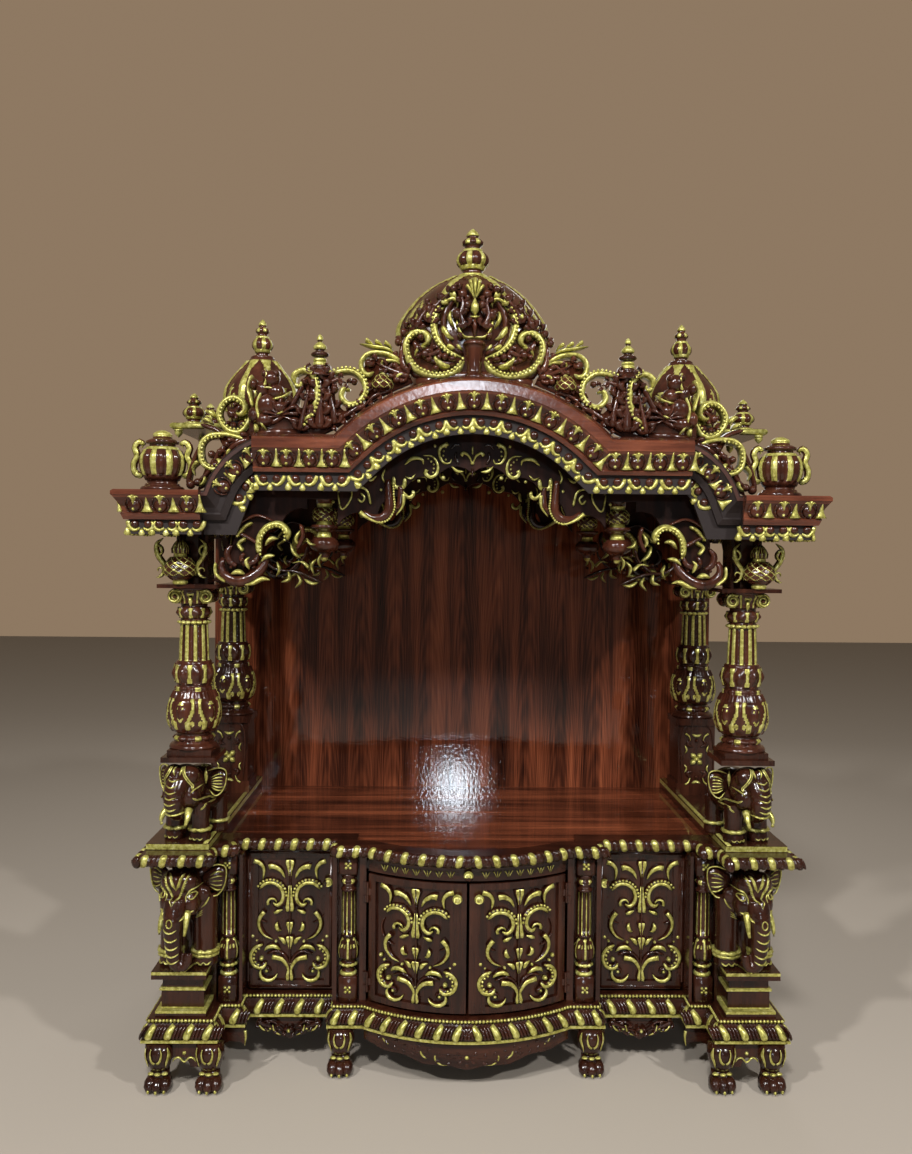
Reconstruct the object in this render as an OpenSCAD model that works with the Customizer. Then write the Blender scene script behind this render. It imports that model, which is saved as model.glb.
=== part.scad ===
// Wooden home temple: a bow-fronted cabinet on paw feet that carries a pillared canopy
// with a shoulder-and-arch cornice, turned pendants, carved crests and domes.
// Millimetres, +Z up, front towards -Y, origin on the floor under the middle of the object.

/* [Overall] */
// Width of the base over its corner blocks
base_w = 1156; // [1040:4:1400]
// Depth from the face of the corner blocks to the rear face
body_d = 610; // [560:2:760]
// How far the cornice runs past the base at each side
eave_side = 32; // [20:1:60]
// How far the cornice runs past the corner blocks at the front
eave_front = 66; // [40:1:90]

/* [Base] */
// Height of the paw feet
foot_h = 85; // [70:1:110]
// Height of the carved base moulding
mould_h = 46; // [36:1:60]
// Height of the cabinet between the base moulding and the slab
case_h = 273; // [240:1:340]
// Thickness of the rope-edged slab
slab_t = 21; // [16:1:30]
// Thickness of the cabinet's boards
board_t = 18; // [12:1:24]
// Thickness of the moulding strips
strip_t = 30; // [20:1:32]
// Thickness of the platform board
platform_t = 9; // [6:1:12]

/* [Front plan] */
// Width of a corner block
corner_w = 136; // [120:2:160]
// Width of the step beside a corner block
step_w = 37; // [30:1:46]
// Width of the pier between a side bay and the bow
mid_w = 64; // [58:1:80]
// Width of the bow front
bow_w = 384; // [340:2:460]
// Radius of the bow front
bow_r = 328; // [300:2:460]
// Setback of the step from the corner block
step_y = 61; // [50:1:70]
// Setback of the side bay from the corner block
bay_y = 104; // [90:1:120]
// Setback of the mid pier from the corner block
mid_y = 58; // [50:1:80]
// Setback of the side wall from the side of the corner block
side_in = 34; // [20:1:50]

/* [Doors and drawer] */
// Thickness of the doors
door_t = 18; // [14:1:22]
// Running gap round the doors and the drawer
run_gap = 5; // [5:0.5:8]
// Height of the drawer front
drawer_h = 23; // [20:1:30]
// Length of the drawer box
drawer_l = 300; // [220:5:360]
// Radius of the knobs
knob_r = 8; // [6:0.5:10]

/* [Pillars] */
// Thickness of the side ledge above the slab
ledge_t = 11; // [8:1:16]
// Width of the side ledge
ledge_w = 112; // [100:2:130]
// Height of the standing elephants
elephant_h = 146; // [120:2:170]
// Side of the square plate on an elephant
plate_w = 97; // [86:1:110]
// Thickness of that plate
plate_t = 21; // [14:1:28]
// Height of a pillar from its plate to its abacus
pillar_h = 292; // [260:2:340]
// Widest radius of a pillar, at its bulb
pillar_r = 50; // [40:1:54]
// Thickness of the abacus
abacus_t = 7; // [5:1:12]
// Height of the post between the abacus and the cornice
corbel_h = 113; // [90:1:140]
// Setback of the front pillars' axis from the corner block face
pillar_y = 84; // [70:2:110]
// Setback of the rear pillars' axis from the corner block face
rear_y = 465; // [420:5:520]

/* [Canopy] */
// Height of the cornice on its corner blocks
cornice_h = 75; // [60:1:90]
// Width of the flat part of a cornice corner
eave_w = 151; // [120:1:180]
// Width of the arc that climbs from a corner to the shoulder
arc_w = 85; // [70:1:110]
// Rise of that arc
arc_rise = 90; // [70:1:110]
// Radius of that arc
arc_r = 145; // [120:1:180]
// Width of the segmental arch
arch_w = 474; // [420:2:560]
// Rise of the segmental arch above the shoulders
arch_rise = 100; // [70:2:120]
// Height of the raised centre cornice over the line of the arcs
centre_up = 6; // [0:1:20]
// Height of the side shelves above the cornice
side_rise = 140; // [110:2:160]
// Setback of the arcs behind the corner blocks
arc_in = 20; // [12:1:30]
// Thickness of the roof boards
roof_t = 12; // [8:1:18]
// Radius of the central dome
dome_r = 131; // [110:1:150]
// Height of the central dome above its drum
dome_h = 120; // [100:2:150]
// Radius of the side domes
side_dome_r = 66; // [50:1:76]

/* [Hidden] */
$fn = 48;
eps = 0.01;

wood = "#4a2018";
dark = "#2e120d";
paint = "#b3b04a";

half_w = base_w / 2;
z_mould = foot_h;
z_case = z_mould + mould_h;
z_slab = z_case + case_h;
z_ledge = z_slab + slab_t;
z_stand = z_ledge + ledge_t;
z_plate = z_stand + elephant_h;
z_pillar = z_plate + plate_t;
z_abacus = z_pillar + pillar_h;
z_corbel = z_abacus + abacus_t;
z_soffit = z_corbel + corbel_h;
fringe_drop = 25;
z_fringe = z_soffit - fringe_drop;
z_eave = z_fringe + cornice_h;

half_eave = half_w + eave_side;
shift_y = (eave_front - body_d) / 2;

pillar_in = 74;
rear_in = 69;
pillar_x = half_w - pillar_in;
rear_x = half_w - rear_in;

// ---- plan of the base -------------------------------------------------------------

function unit(v) = v / norm(v);
function left_of(v) = [-v[1], v[0]];
function side_normal(p, i) = left_of(unit(p[i + 1] - p[i]));

// Offset vector of each corner of a run of points, so that strips meet in mitres
function mitre(p, i) =
    let (last = len(p) - 1,
         a = side_normal(p, max(i - 1, 0)),
         b = side_normal(p, min(i, last - 1)))
    (a + b) / (1 + a * b);

function mirrored(p) = concat([for (i = [len(p) - 1:-1:0]) [-p[i][0], p[i][1]]], p);

// Right half of the front line, from beside the middle of the bow to the rear corner
function half_line(out, inn, y0, stp, y1, y2, mid, y3, bow, r, notch) =
    let (yc = y3 + sqrt(r * r - bow * bow),
         span = asin(bow / r),
         n = 10)
    concat([for (i = [0.5:1:n]) [r * sin(span * i / n), yc - r * cos(span * i / n)]],
           [[bow, y3], [mid, y3], [mid, y2], [stp, y2], [stp, y1], [inn, y1], [inn, y0], [out, y0]],
           notch > 0 ? [[out, corner_w], [out - notch, corner_w],
                        [out - notch, body_d - corner_w], [out, body_d - corner_w]] : [],
           [[out, body_d]]);

corner_in = half_w - corner_w;
step_in = corner_in - step_w;
bow_x = bow_w / 2;
mid_out = bow_x + mid_w;
bow_yc = mid_y + sqrt(bow_r * bow_r - bow_x * bow_x);

base_line = mirrored(half_line(half_w, corner_in, 0, step_in, step_y, bay_y,
                               mid_out, mid_y, bow_x, bow_r, side_in));

// The slab runs wider than the base at the corners and flush with it at the bays
slab_out = 11;
slab_line = mirrored(half_line(half_w + slab_out, corner_in + 13, -6, step_in + 21, step_y - 4,
                               bay_y - 2, mid_out - 6, mid_y - 2, bow_x - 2, bow_r + 6, 0));

// ---- lofts ------------------------------------------------------------------------

// Closed skin through rings of points, each ring with as many points as the first
module loft(rings) {
    n = len(rings);
    m = len(rings[0]);
    points = [for (r = rings) each r];
    sides = [for (i = [0:n - 2]) for (j = [0:m - 1])
                [i * m + j, i * m + (j + 1) % m, (i + 1) * m + (j + 1) % m, (i + 1) * m + j]];
    polyhedron(points, concat([[for (j = [m - 1:-1:0]) j]], sides,
                              [[for (j = [0:m - 1]) (n - 1) * m + j]]), convexity = 8);
}

// Moulding along a line in plan; its profile is [outward, height]
module plan_moulding(line, profile) {
    loft([for (i = [0:len(line) - 1])
             let (m = mitre(line, i))
             [for (q = profile) [line[i][0] - q[0] * m[0], line[i][1] - q[0] * m[1], q[1]]]]);
}

// Moulding along a line in elevation; its profile is [down from the line, forward]
module face_moulding(line, profile, face_y) {
    loft([for (i = [0:len(line) - 1])
             let (m = mitre(line, i))
             [for (q = profile) [line[i][0] - q[0] * m[0], face_y - q[1], line[i][1] - q[0] * m[1]]]]);
}

function grown(line, o) = [for (i = [0:len(line) - 1]) line[i] - o * mitre(line, i)];

module board(x0, x1, y0, y1, z0, z1) {
    translate([x0, y0, z0]) cube([x1 - x0, y1 - y0, z1 - z0]);
}

module both() {
    children();
    mirror([1, 0, 0]) children();
}

module here() {
    translate([0, shift_y, 0]) children();
}

// ---- base -------------------------------------------------------------------------

function rise(list) = [for (q = list) [q[0], z_mould + mould_h * q[1]]];
base_profile = concat([[-strip_t, z_mould], [-8, z_mould]],
                      rise([[-3, 0.10], [0, 0.12], [0, 0.22], [-3, 0.24], [-2, 0.36], [-4, 0.54],
                            [-9, 0.74], [-13, 0.84], [-9, 0.88], [-9, 0.97], [-12, 1]]),
                      [[-strip_t, z_case]]);

module base_moulding() {
    color(wood) here() plan_moulding(base_line, base_profile);
}

module cabinet_floor() {
    color(wood) here() translate([0, 0, z_case - board_t]) linear_extrude(board_t)
        polygon(grown(base_line, -strip_t));
}

// Corner blocks under the moulding, each with a cupid's-bow lower edge between its paws
module corner_bracket(y0, y1) {
    x0 = corner_in + 14;
    x1 = half_w - 10;
    mid = (x0 + x1) / 2;
    span = (x1 - x0) / 2 - 36;
    steps = 16;
    drop = 22;
    translate([0, y1, 0]) rotate([90, 0, 0]) linear_extrude(y1 - y0)
        polygon(concat([[x0, z_mould], [x0, paw_h], [x0 + 34, paw_h]],
                       [for (i = [0:steps]) let (t = i / steps * 2 - 1)
                           [mid + span * t, paw_h + drop * pow(cos(90 * t), 0.7) - 7 * pow(cos(90 * t), 8)]],
                       [[x1 - 34, paw_h], [x1, paw_h], [x1, z_mould]]));
}

module corner_brackets() {
    color(wood) here() both() {
        corner_bracket(12, 34);
        corner_bracket(body_d - 34, body_d - 12);
        board(half_w - 32, half_w - 14, 34, corner_w - 14, 56, z_mould);
        board(half_w - 32, half_w - 14, body_d - corner_w + 14, body_d - 34, 56, z_mould);
    }
}

paw_h = 43;

// A lion's paw: three toes on a flat sole under a tapering ankle
module paw() {
    toe_r = 11;
    toe_gap = 14;
    for (t = [-1:1]) hull() {
        translate([t * toe_gap, -12 + 4 * abs(t), toe_r]) sphere(toe_r, $fn = 8);
        translate([t * 8, 12, toe_r + 3]) sphere(toe_r, $fn = 8);
    }
    translate([-16, -14, 0]) cube([32, 38, 7]);
    hull() {
        translate([0, 8, 26]) cylinder(h = 2, r = 19, $fn = 12);
        translate([0, 10, 3]) cylinder(h = 2, r = 19, $fn = 12);
    }
    hull() {
        translate([0, 8, 28]) cylinder(h = 1, r = 19, $fn = 12);
        translate([-20, -8, paw_h - eps]) cube([40, 34, eps]);
    }
}

module paw_feet() {
    color(dark) here() both() {
        for (x = [corner_in + 16.5, half_w - 29.5]) {
            translate([x, 20, 0]) paw();
            translate([x, body_d - 26, 0]) mirror([0, 1, 0]) paw();
        }
        translate([mid_out - 24, mid_y + 26, 0]) {
            paw();
            board(-20, 20, -12, 26, paw_h - eps, z_mould);
        }
    }
}

// Scalloped board under the bow's moulding
module bow_apron_board() {
    ring = 14;
    low = 40;
    edge = 20;
    steps = 24;
    half = bow_x - 4;
    intersection() {
        translate([0, bow_yc, low]) difference() {
            cylinder(h = z_mould - low, r = bow_r - 10, $fn = 180);
            translate([0, 0, -1]) cylinder(h = z_mould, r = bow_r - 10 - ring, $fn = 180);
        }
        translate([0, bow_yc, 0]) rotate([90, 0, 0]) linear_extrude(bow_r)
            polygon(concat([[-half, z_mould]],
                           [for (i = [0:steps]) let (t = i / steps * 2 - 1)
                               [half * t, z_mould - edge - (z_mould - edge - 44) * pow(cos(90 * t), 1.5)
                                          - 3 * cos(900 * t)]],
                           [[half, z_mould]]));
    }
}

module aprons() {
    color(wood) here() {
        bow_apron_board();
        both() side_apron_boards();
    }
}

// Scalloped boards under the side bays and the steps
module side_apron_boards() {
    x0 = mid_out + 14;
    x1 = step_in - 14;
    mid = (x0 + x1) / 2;
    span = (x1 - x0) / 2;
    steps = 20;
    translate([0, bay_y + 24, 0]) rotate([90, 0, 0]) linear_extrude(12)
        polygon(concat([[x0, z_mould]],
                       [for (i = [0:steps]) let (t = i / steps * 2 - 1)
                           [mid + span * t, 72 - 26 * pow(cos(90 * t), 1.4) - 3 * cos(810 * t)]],
                       [[x1, z_mould]]));
    translate([0, step_y + 24, 0]) rotate([90, 0, 0]) linear_extrude(12)
        polygon([[step_in + 2, z_mould], [step_in + 2, 53], [step_in + 10, 58],
                 [corner_in - 6, 60], [corner_in + 12, 50], [corner_in + 12, z_mould]]);
}

// ---- cabinet ----------------------------------------------------------------------

// The cabinet's back board is set in from the rear face
back_in = 8;
cabinet_back_y = body_d - back_in - board_t;
bay_door_in = 21;
colonette_w = 34;
channel_w = colonette_w + 8;
mid_x = mid_out - 37;
outer_x = corner_in - 2;
pier_face = mid_y + 20;
pier_back = bay_y + bay_door_in + door_t + 4;
colonette_y = mid_y + 14 + colonette_w / 2;
side_door_face = bay_y + bay_door_in;
side_door_out = outer_x - channel_w / 2 - 6 - run_gap;
side_door_in = mid_out - 3;
corner_pier_y = 85;
bow_door_r = bow_r - 22;
bow_door_x = bow_x - 11;

// A pier with a channel down its face for a colonette
module pier(x0, x1, cx) {
    difference() {
        board(x0, x1, pier_face, pier_back, z_case, z_slab);
        board(cx - channel_w / 2, cx + channel_w / 2, pier_face - 1,
              colonette_y + colonette_w / 2, z_case - 1, z_slab + 1);
    }
}

module front_piers() {
    color(wood) here() both() {
        pier(bow_door_x + run_gap, side_door_in - run_gap, mid_x);
        pier(side_door_out + run_gap, corner_in + 24, outer_x);
    }
}

module corner_piers() {
    color(wood) here() both() {
        board(corner_in + 24, half_w - side_in, corner_pier_y, corner_w + 20, z_case, z_slab);
        board(half_w - corner_w + 24, half_w - 14, body_d - corner_w + 14, cabinet_back_y,
              z_case, z_slab);
    }
}

module side_wall() {
    x1 = half_w - side_in - 2;
    y0 = corner_w + 20;
    y1 = body_d - corner_w + 14;
    rim = 34;
    color(wood) here() difference() {
        board(x1 - board_t, x1, y0, y1, z_case, z_slab);
        difference() {
            board(x1 - 6, x1 + 1, y0 + rim, y1 - rim, z_case + rim, z_slab - rim);
            board(x1 - 7, x1 + 2, y0 + rim + 14, y1 - rim - 14, z_case + rim + 14, z_slab - rim - 14);
        }
    }
}

module side_wall_right() { side_wall(); }
module side_wall_left() { mirror([1, 0, 0]) side_wall(); }

module cabinet_back() {
    color(wood) here()
        board(-half_w + 40, half_w - 40, cabinet_back_y, body_d - back_in, z_case, z_slab);
}

// Turned colonette between two square blocks
module colonette() {
    h = case_h;
    b = 50;
    board(-colonette_w / 2, colonette_w / 2, -colonette_w / 2, colonette_w / 2, 0, b);
    board(-colonette_w / 2, colonette_w / 2, -colonette_w / 2, colonette_w / 2, h - 34, h);
    translate([0, 0, b - eps]) rotate_extrude($fn = 40)
        polygon([[0, 0], [14, 0], [17, 6], [17, 16], [13, 21], [15, 30], [16.5, 42], [14, 58],
                 [11, 70], [14, 74], [14, 78], [12.8, 80], [12.8, h - b - 74], [15, h - b - 70],
                 [17, h - b - 60], [15, h - b - 52], [12, h - b - 46], [14, h - b - 34 + 2 * eps],
                 [0, h - b - 34 + 2 * eps]]);
}

module colonettes() {
    color(dark) here() both() {
        translate([mid_x, colonette_y, z_case]) colonette();
        translate([outer_x, colonette_y, z_case]) colonette();
    }
}

// ---- doors and drawer ---------------------------------------------------------------

z_door = z_case + run_gap;
z_drawer = z_slab - run_gap - drawer_h;
bow_door_top = z_drawer - run_gap;
side_door_top = z_slab - run_gap;
hinge_r = 2.4;
knuckle_l = 12;
knuckle_gap = 0.4;
bow_hinge = [bow_door_x + run_gap / 2, pier_face - 3.5];
side_hinge = [side_door_out + run_gap / 2, side_door_face - 3.5];

function hinge_heights(z0, z1) = [z0 + 34, z1 - 34];

// The middle knuckle of each hinge belongs to the door, the outer two to the pier
module door_knuckles(at, back, z0, z1) {
    for (z = hinge_heights(z0, z1)) {
        translate([at[0], at[1], z - knuckle_l / 2]) cylinder(h = knuckle_l, r = hinge_r);
        board(at[0] - 8, at[0], at[1], back, z - knuckle_l / 2, z + knuckle_l / 2);
    }
}

module pier_knuckles(at, leaf, z0, z1) {
    for (z = hinge_heights(z0, z1)) for (e = [-1, 1]) {
        zc = z + e * (knuckle_l + knuckle_gap);
        translate([at[0], at[1], zc - knuckle_l / 2]) cylinder(h = knuckle_l, r = hinge_r);
        board(at[0], leaf[0], at[1], leaf[1], zc - knuckle_l / 2, zc + knuckle_l / 2);
    }
}

module hinges() {
    color(paint) here() both() {
        pier_knuckles(bow_hinge, [bow_hinge[0] + 8, pier_face], z_door, bow_door_top);
        pier_knuckles(side_hinge, [side_door_out + run_gap, side_hinge[1] + 3], z_door, side_door_top);
    }
}

module knob() {
    rotate([90, 0, 0]) rotate_extrude($fn = 32)
        polygon([[0, -1], [4.5, -1], [4, 4], [4.5, 7], [knob_r - 1, 9], [knob_r, 13],
                 [knob_r - 2, 17], [0, 18.5]]);
}

// Flat door: a frame with a sunk panel, hinged on its outer front edge
module side_door() {
    rim = 15;
    color(wood) here() {
        difference() {
            board(side_door_in, side_door_out, side_door_face, side_door_face + door_t,
                  z_door, side_door_top);
            board(side_door_in + rim, side_door_out - rim, side_door_face - 1, side_door_face + 5,
                  z_door + rim, side_door_top - rim);
        }
        translate([side_door_in + 8, side_door_face, side_door_top - 57]) knob();
        door_knuckles(side_hinge, side_door_face + 1, z_door, side_door_top);
    }
}

module side_door_right() { side_door(); }
module side_door_left() { mirror([1, 0, 0]) side_door(); }

// Sector of a curved board about the centre of the bow
module bowed(r1, r0, x0, x1, z0, z1) {
    a0 = asin(x0 / r1);
    a1 = asin(x1 / r1);
    translate([0, bow_yc, z0]) rotate([0, 0, -90 + a0]) rotate_extrude(angle = a1 - a0, $fn = 180)
        translate([r0, 0]) square([r1 - r0, z1 - z0]);
}

meeting_stile = 30;

module bow_door() {
    rim = 12;
    color(wood) here() {
        difference() {
            bowed(bow_door_r, bow_door_r - door_t, run_gap / 2, bow_door_x, z_door, bow_door_top);
            bowed(bow_door_r + 1, bow_door_r - 5, run_gap / 2 + meeting_stile, bow_door_x - rim,
                  z_door + rim, bow_door_top - rim);
        }
        translate([run_gap / 2 + 17, bow_yc - bow_door_r + 1, bow_door_top - 24]) knob();
        door_knuckles(bow_hinge, bow_hinge[1] + 4, z_door, bow_door_top);
    }
}

module bow_door_right() { bow_door(); }
module bow_door_left() { mirror([1, 0, 0]) bow_door(); }

box_half = bow_door_x - 24;
box_front = bow_yc - sqrt(pow(bow_door_r - door_t, 2) - box_half * box_half);
box_back = box_front + drawer_l;
rail_t = 4;
rail_y = pier_face + 24;

module drawer() {
    wall = 8;
    color(wood) here() {
        bowed(bow_door_r, bow_door_r - door_t, -bow_door_x, bow_door_x, z_drawer, z_drawer + drawer_h);
        difference() {
            translate([0, 0, z_drawer]) linear_extrude(drawer_h - 4) polygon(concat(
                [for (i = [0:12]) let (x = box_half * (i / 6 - 1))
                    [x, bow_yc - sqrt(pow(bow_door_r - door_t + 1, 2) - x * x)]],
                [[box_half, box_back], [-box_half, box_back]]));
            board(-box_half + wall, box_half - wall, box_front + wall, box_back - wall,
                  z_drawer + 5, z_slab);
        }
        translate([0, bow_yc - bow_door_r + 1, z_drawer + drawer_h / 2]) knob();
    }
}

// Rails that the drawer slides on, between the mid piers and the back
module drawer_rails() {
    color(wood) here() both() {
        board(box_half - 10, bow_door_x + run_gap, rail_y, cabinet_back_y,
              z_drawer - 1 - rail_t, z_drawer - 1);
        board(box_half + 1.5, bow_door_x + run_gap, rail_y, cabinet_back_y,
              z_drawer - 1, z_drawer + 12);
    }
}

// ---- slab and ledges ------------------------------------------------------------------

slab_in = 45;
slab_profile = [[-slab_in, z_slab], [-9, z_slab], [-3, z_slab + 3], [0, z_slab + 8], [0, z_slab + 13],
                [-3, z_slab + 18], [-9, z_ledge], [-slab_in, z_ledge]];

module rope_slab() {
    color(wood) here() plan_moulding(slab_line, slab_profile);
}

back_y = body_d - 20;
ledge_x = half_w - ledge_w;

// Part of the plan inside the slab between two distances from the middle
module inside_slab(x0, x1) {
    intersection() {
        polygon(grown(slab_line, -slab_in));
        translate([x0, 0]) square([x1 - x0, back_y]);
    }
}

module platform() {
    color(wood) here() translate([0, 0, z_slab]) linear_extrude(platform_t)
        inside_slab(-ledge_x, ledge_x);
}

module side_ledges() {
    color(wood) here() both() {
        board(ledge_x, half_w, 35, back_y, z_ledge, z_stand);
        translate([0, 0, z_slab]) linear_extrude(slab_t + eps) inside_slab(ledge_x, half_w);
    }
}

// ---- elephants ------------------------------------------------------------------------

module ball(p, r) { translate(p) sphere(r, $fn = 10); }
module limb(a, ra, b, rb) { hull() { ball(a, ra); ball(b, rb); } }

// Head with its trunk, tusks and ears, facing -Y, with the brow at the top of a box h high
module elephant_head(h) {
    s = h / 146;
    scale(s) {
        hull() {
            ball([0, -18, 112], 30);
            ball([-14, 6, 112], 26);
            ball([14, 6, 112], 26);
            ball([0, -26, 78], 20);
        }
        limb([0, -34, 84], 19, [0, -44, 52], 14);
        limb([0, -44, 52], 14, [0, -44, 26], 10);
        limb([0, -44, 26], 10, [8, -48, 12], 9);
        for (e = [-1, 1]) {
            limb([e * 18, -34, 62], 7, [e * 25, -46, 44], 3);
            hull() {
                translate([e * 34, 4, 108]) rotate([90, 0, 0]) cylinder(h = 7, r = 22, $fn = 16);
                translate([e * 44, 6, 84]) rotate([90, 0, 0]) cylinder(h = 7, r = 12, $fn = 16);
            }
        }
    }
}

module elephant_leg(x, y, h) {
    limb([x, y, h * 0.42], h * 0.16, [x, y, h * 0.16], h * 0.13);
    translate([x, y, 0]) cylinder(h = h * 0.2, r = h * 0.14, $fn = 16);
}

// Whole standing elephant, square on, under a plate
module elephant_body(h) {
    elephant_head(h);
    hull() {
        ball([0, 10, h * 0.62], h * 0.33);
        ball([0, 34, h * 0.60], h * 0.33);
    }
    for (x = [-1, 1]) {
        elephant_leg(x * h * 0.19, -10, h);
        elephant_leg(x * h * 0.19, 40, h);
    }
    translate([0, 12, h * 0.5]) cylinder(h = h * 0.5, r = h * 0.26, $fn = 20);
}

module elephants_upper() {
    color(dark) here() both() translate([pillar_x, pillar_y, z_stand]) intersection() {
        rotate([0, 0, 42]) translate([0, -8, 0]) elephant_body(elephant_h);
        translate([-90, -90, 0]) cube([180, 180, elephant_h]);
    }
}

lower_h = 193;
plinth_x = half_w - 64;

module elephants_lower() {
    color(dark) here() both() difference() {
        translate([plinth_x + 2, 74, z_case + 80]) rotate([0, 0, 38]) {
            elephant_head(lower_h);
            elephant_leg(-26, -16, lower_h);
            elephant_leg(30, -10, lower_h);
            translate([0, 4, 0]) cylinder(h = lower_h, r = 34, $fn = 24);
        }
        board(half_w - 160, half_w - side_in + eps, corner_pier_y - eps, 200, 0, 500);
        board(half_w - 160, half_w + 60, -60, 200, z_slab, z_slab + 80);
        board(half_w - 160, half_w + 60, -60, 200, z_case, z_case + 80);
    }
}

// Stepped plinth under a lower elephant
module corner_plinths() {
    cx = plinth_x;
    back = corner_pier_y;
    color(wood) here() both() {
        plinth_step(cx - 3, 45, 16, back, z_case, 10);
        plinth_step(cx - 3, 38, 32, back, z_case + 10, 32);
        plinth_step(cx - 3, 41, 29, back, z_case + 42, 4);
        plinth_step(cx - 3, 36, 33, back, z_case + 46, 20);
        plinth_step(cx + 1, 49, 18, back, z_case + 66, 14);
    }
}

module plinth_step(cx, half, front, back, z, h) {
    board(cx - half, cx + half, front, back, z, z + h);
}

// ---- pillars --------------------------------------------------------------------------

// Turned pillar from its base ring to its bell
function pillar_profile(h, r) = [
    [0, 0], [r - 6, 0], [r - 6, 6], [r - 12, 12], [r - 18, 16], [r - 14, 20], [r - 14, 26], [r - 20, 30],
    [r - 4, 44], [r, 60], [r, 80], [r - 4, 96], [r - 2, 102], [r - 16, 106], [r - 18, 112],
    [r - 15, 122], [r - 14, 140], [r - 18, 152], [r - 21, 156], [r - 25.5, 210], [r - 20, 216],
    [r - 19, 228], [r - 21, 240], [r - 26, 248], [r - 24, 256], [r - 12, h - 24], [r - 10, h - 8],
    [r - 6, h], [0, h]];

module pillar(h) {
    rotate_extrude($fn = 60) polygon(pillar_profile(h, pillar_r));
    for (t = [-1, 1]) translate([t * 36, 0, h - 19]) rotate([90, 0, 0])
        cylinder(h = 64, r = 15, center = true, $fn = 40);
}

module plate(w, h) {
    translate([-w / 2, -w / 2, 0]) cube([w, w, h * 0.45]);
    translate([-w / 2 + 9, -w / 2 + 9, h * 0.45 - eps]) cube([w - 18, w - 18, h * 0.55 + eps]);
}

module front_pillars() {
    color(dark) here() both() translate([pillar_x, pillar_y, z_pillar]) pillar(pillar_h);
}

module rear_pillars() {
    color(dark) here() both() translate([rear_x, rear_y, z_pillar]) pillar(pillar_h);
}

rear_ped_w = 80;

module rear_pedestals() {
    half = rear_ped_w / 2;
    color(wood) here() both() translate([rear_x, rear_y, 0]) {
        board(-half, half, -half, half, z_stand, z_pillar - 14);
        board(-half - 5, half + 5, -half - 5, half + 5, z_pillar - 14, z_pillar);
        board(-half - 4, half + 4, -half - 4, half + 4, z_stand, z_stand + 26);
    }
}

// The plates under the front pillars and the square abacus on each pillar
module pillar_plates() {
    half = 54;
    color(wood) here() both() {
        translate([pillar_x, pillar_y, z_plate]) plate(plate_w, plate_t);
        translate([pillar_x, pillar_y, z_abacus]) board(-half, half, -half, half, 0, abacus_t);
        translate([rear_x, rear_y, z_abacus]) board(-half, half, -half, half, 0, abacus_t);
    }
}

// Posts that carry the cornice, with a pineapple in a cup before each front one
post_w = 56;

module canopy_posts() {
    color(wood) here() both() {
        translate([pillar_x, pillar_y, z_corbel])
            board(-post_w / 2, post_w / 2, -post_w / 2 + 10, post_w / 2 + 10, 0, corbel_h);
        translate([rear_x, rear_y, z_corbel])
            board(-post_w / 2, beam_x1 - rear_x, -post_w / 2, post_w / 2, 0, corbel_h);
    }
}

module pineapples() {
    color(dark) here() both() translate([pillar_x + 14, pillar_y - 48, z_corbel]) rotate_extrude($fn = 40)
        polygon([[0, 0], [12, 0], [14, 4], [24, 12], [27, 24], [25, 36], [17, 45], [9, 50],
                 [12, 58], [8, 70], [3, 80], [0, 82]]);
}

// ---- canopy -----------------------------------------------------------------------------

cornice_back = 55;
// The foot of the fillet laps just under the beams, whatever the cornice's height
fringe_h = fringe_drop - 0.25;
centre_fringe_h = fringe_h + 6.6;

// Profile of the cornice: depth below its top line, then place behind its foremost edge
function cornice_profile(top, h, fringe_h) =
    let (band = top + (h - top) * 0.43,
         fillet = h - fringe_h,
         fringe = 8)
    [[0, -cornice_back], [fillet, -cornice_back], [fillet, -24 - fringe], [h, -24 - fringe],
     [h, -24], [fillet, -24], [fillet, -17], [band + 3, -13], [band, -15], [band - 8, -13.5],
     [top + 12, -9], [top + 2, -2], [top, 0], [top * 0.35, 0], [0, -top * 0.4]];

corner_profile = cornice_profile(9, cornice_h, fringe_h);
centre_profile = cornice_profile(24, cornice_h + 20, centre_fringe_h);

arc_x0 = half_eave - eave_w;
arc_x1 = arc_x0 - arc_w;
z_arc = z_eave + arc_rise;
z_shoulder = z_arc + centre_up;
z_side = z_eave + side_rise;
arch_r = (arch_w * arch_w / 4 + arch_rise * arch_rise) / (2 * arch_rise);
arch_span = asin(arch_w / 2 / arch_r);
z_arch_c = z_shoulder + arch_rise - arch_r;
arc_steps = 8;
arch_steps = 24;

// Points of an arc of radius r from a to b, bulging to the left of the way from a to b
function arc_points(a, b, r, n) =
    let (way = unit(b - a),
         c = (a + b) / 2 + sqrt(r * r - (b - a) * (b - a) / 4) * [way[1], -way[0]],
         a0 = atan2(a[1] - c[1], a[0] - c[0]),
         a1 = atan2(b[1] - c[1], b[0] - c[0]),
         turn = a1 - a0 - 360 * round((a1 - a0) / 360))
    [for (i = [0:n]) c + r * [cos(a0 + turn * i / n), sin(a0 + turn * i / n)]];

// Front lines run from left to right
arc_line = arc_points([arc_x1, z_arc], [arc_x0, z_eave], arc_r, arc_steps);
arch_line = [for (i = [0:arch_steps])
                let (a = arch_span * (2 * i / arch_steps - 1))
                [arch_r * sin(a), z_arch_c + arch_r * cos(a)]];
centre_line = concat([[-arc_x1, z_shoulder]], arch_line, [[arc_x1, z_shoulder]]);

// Each run of moulding laps into a corner by this much
cornice_lap = 4;
side_y0 = -eave_front + eave_w;
side_y3 = body_d - eave_w;

module cornice_centre() {
    color(wood) here() face_moulding(centre_line, centre_profile, -eave_front);
}

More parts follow.
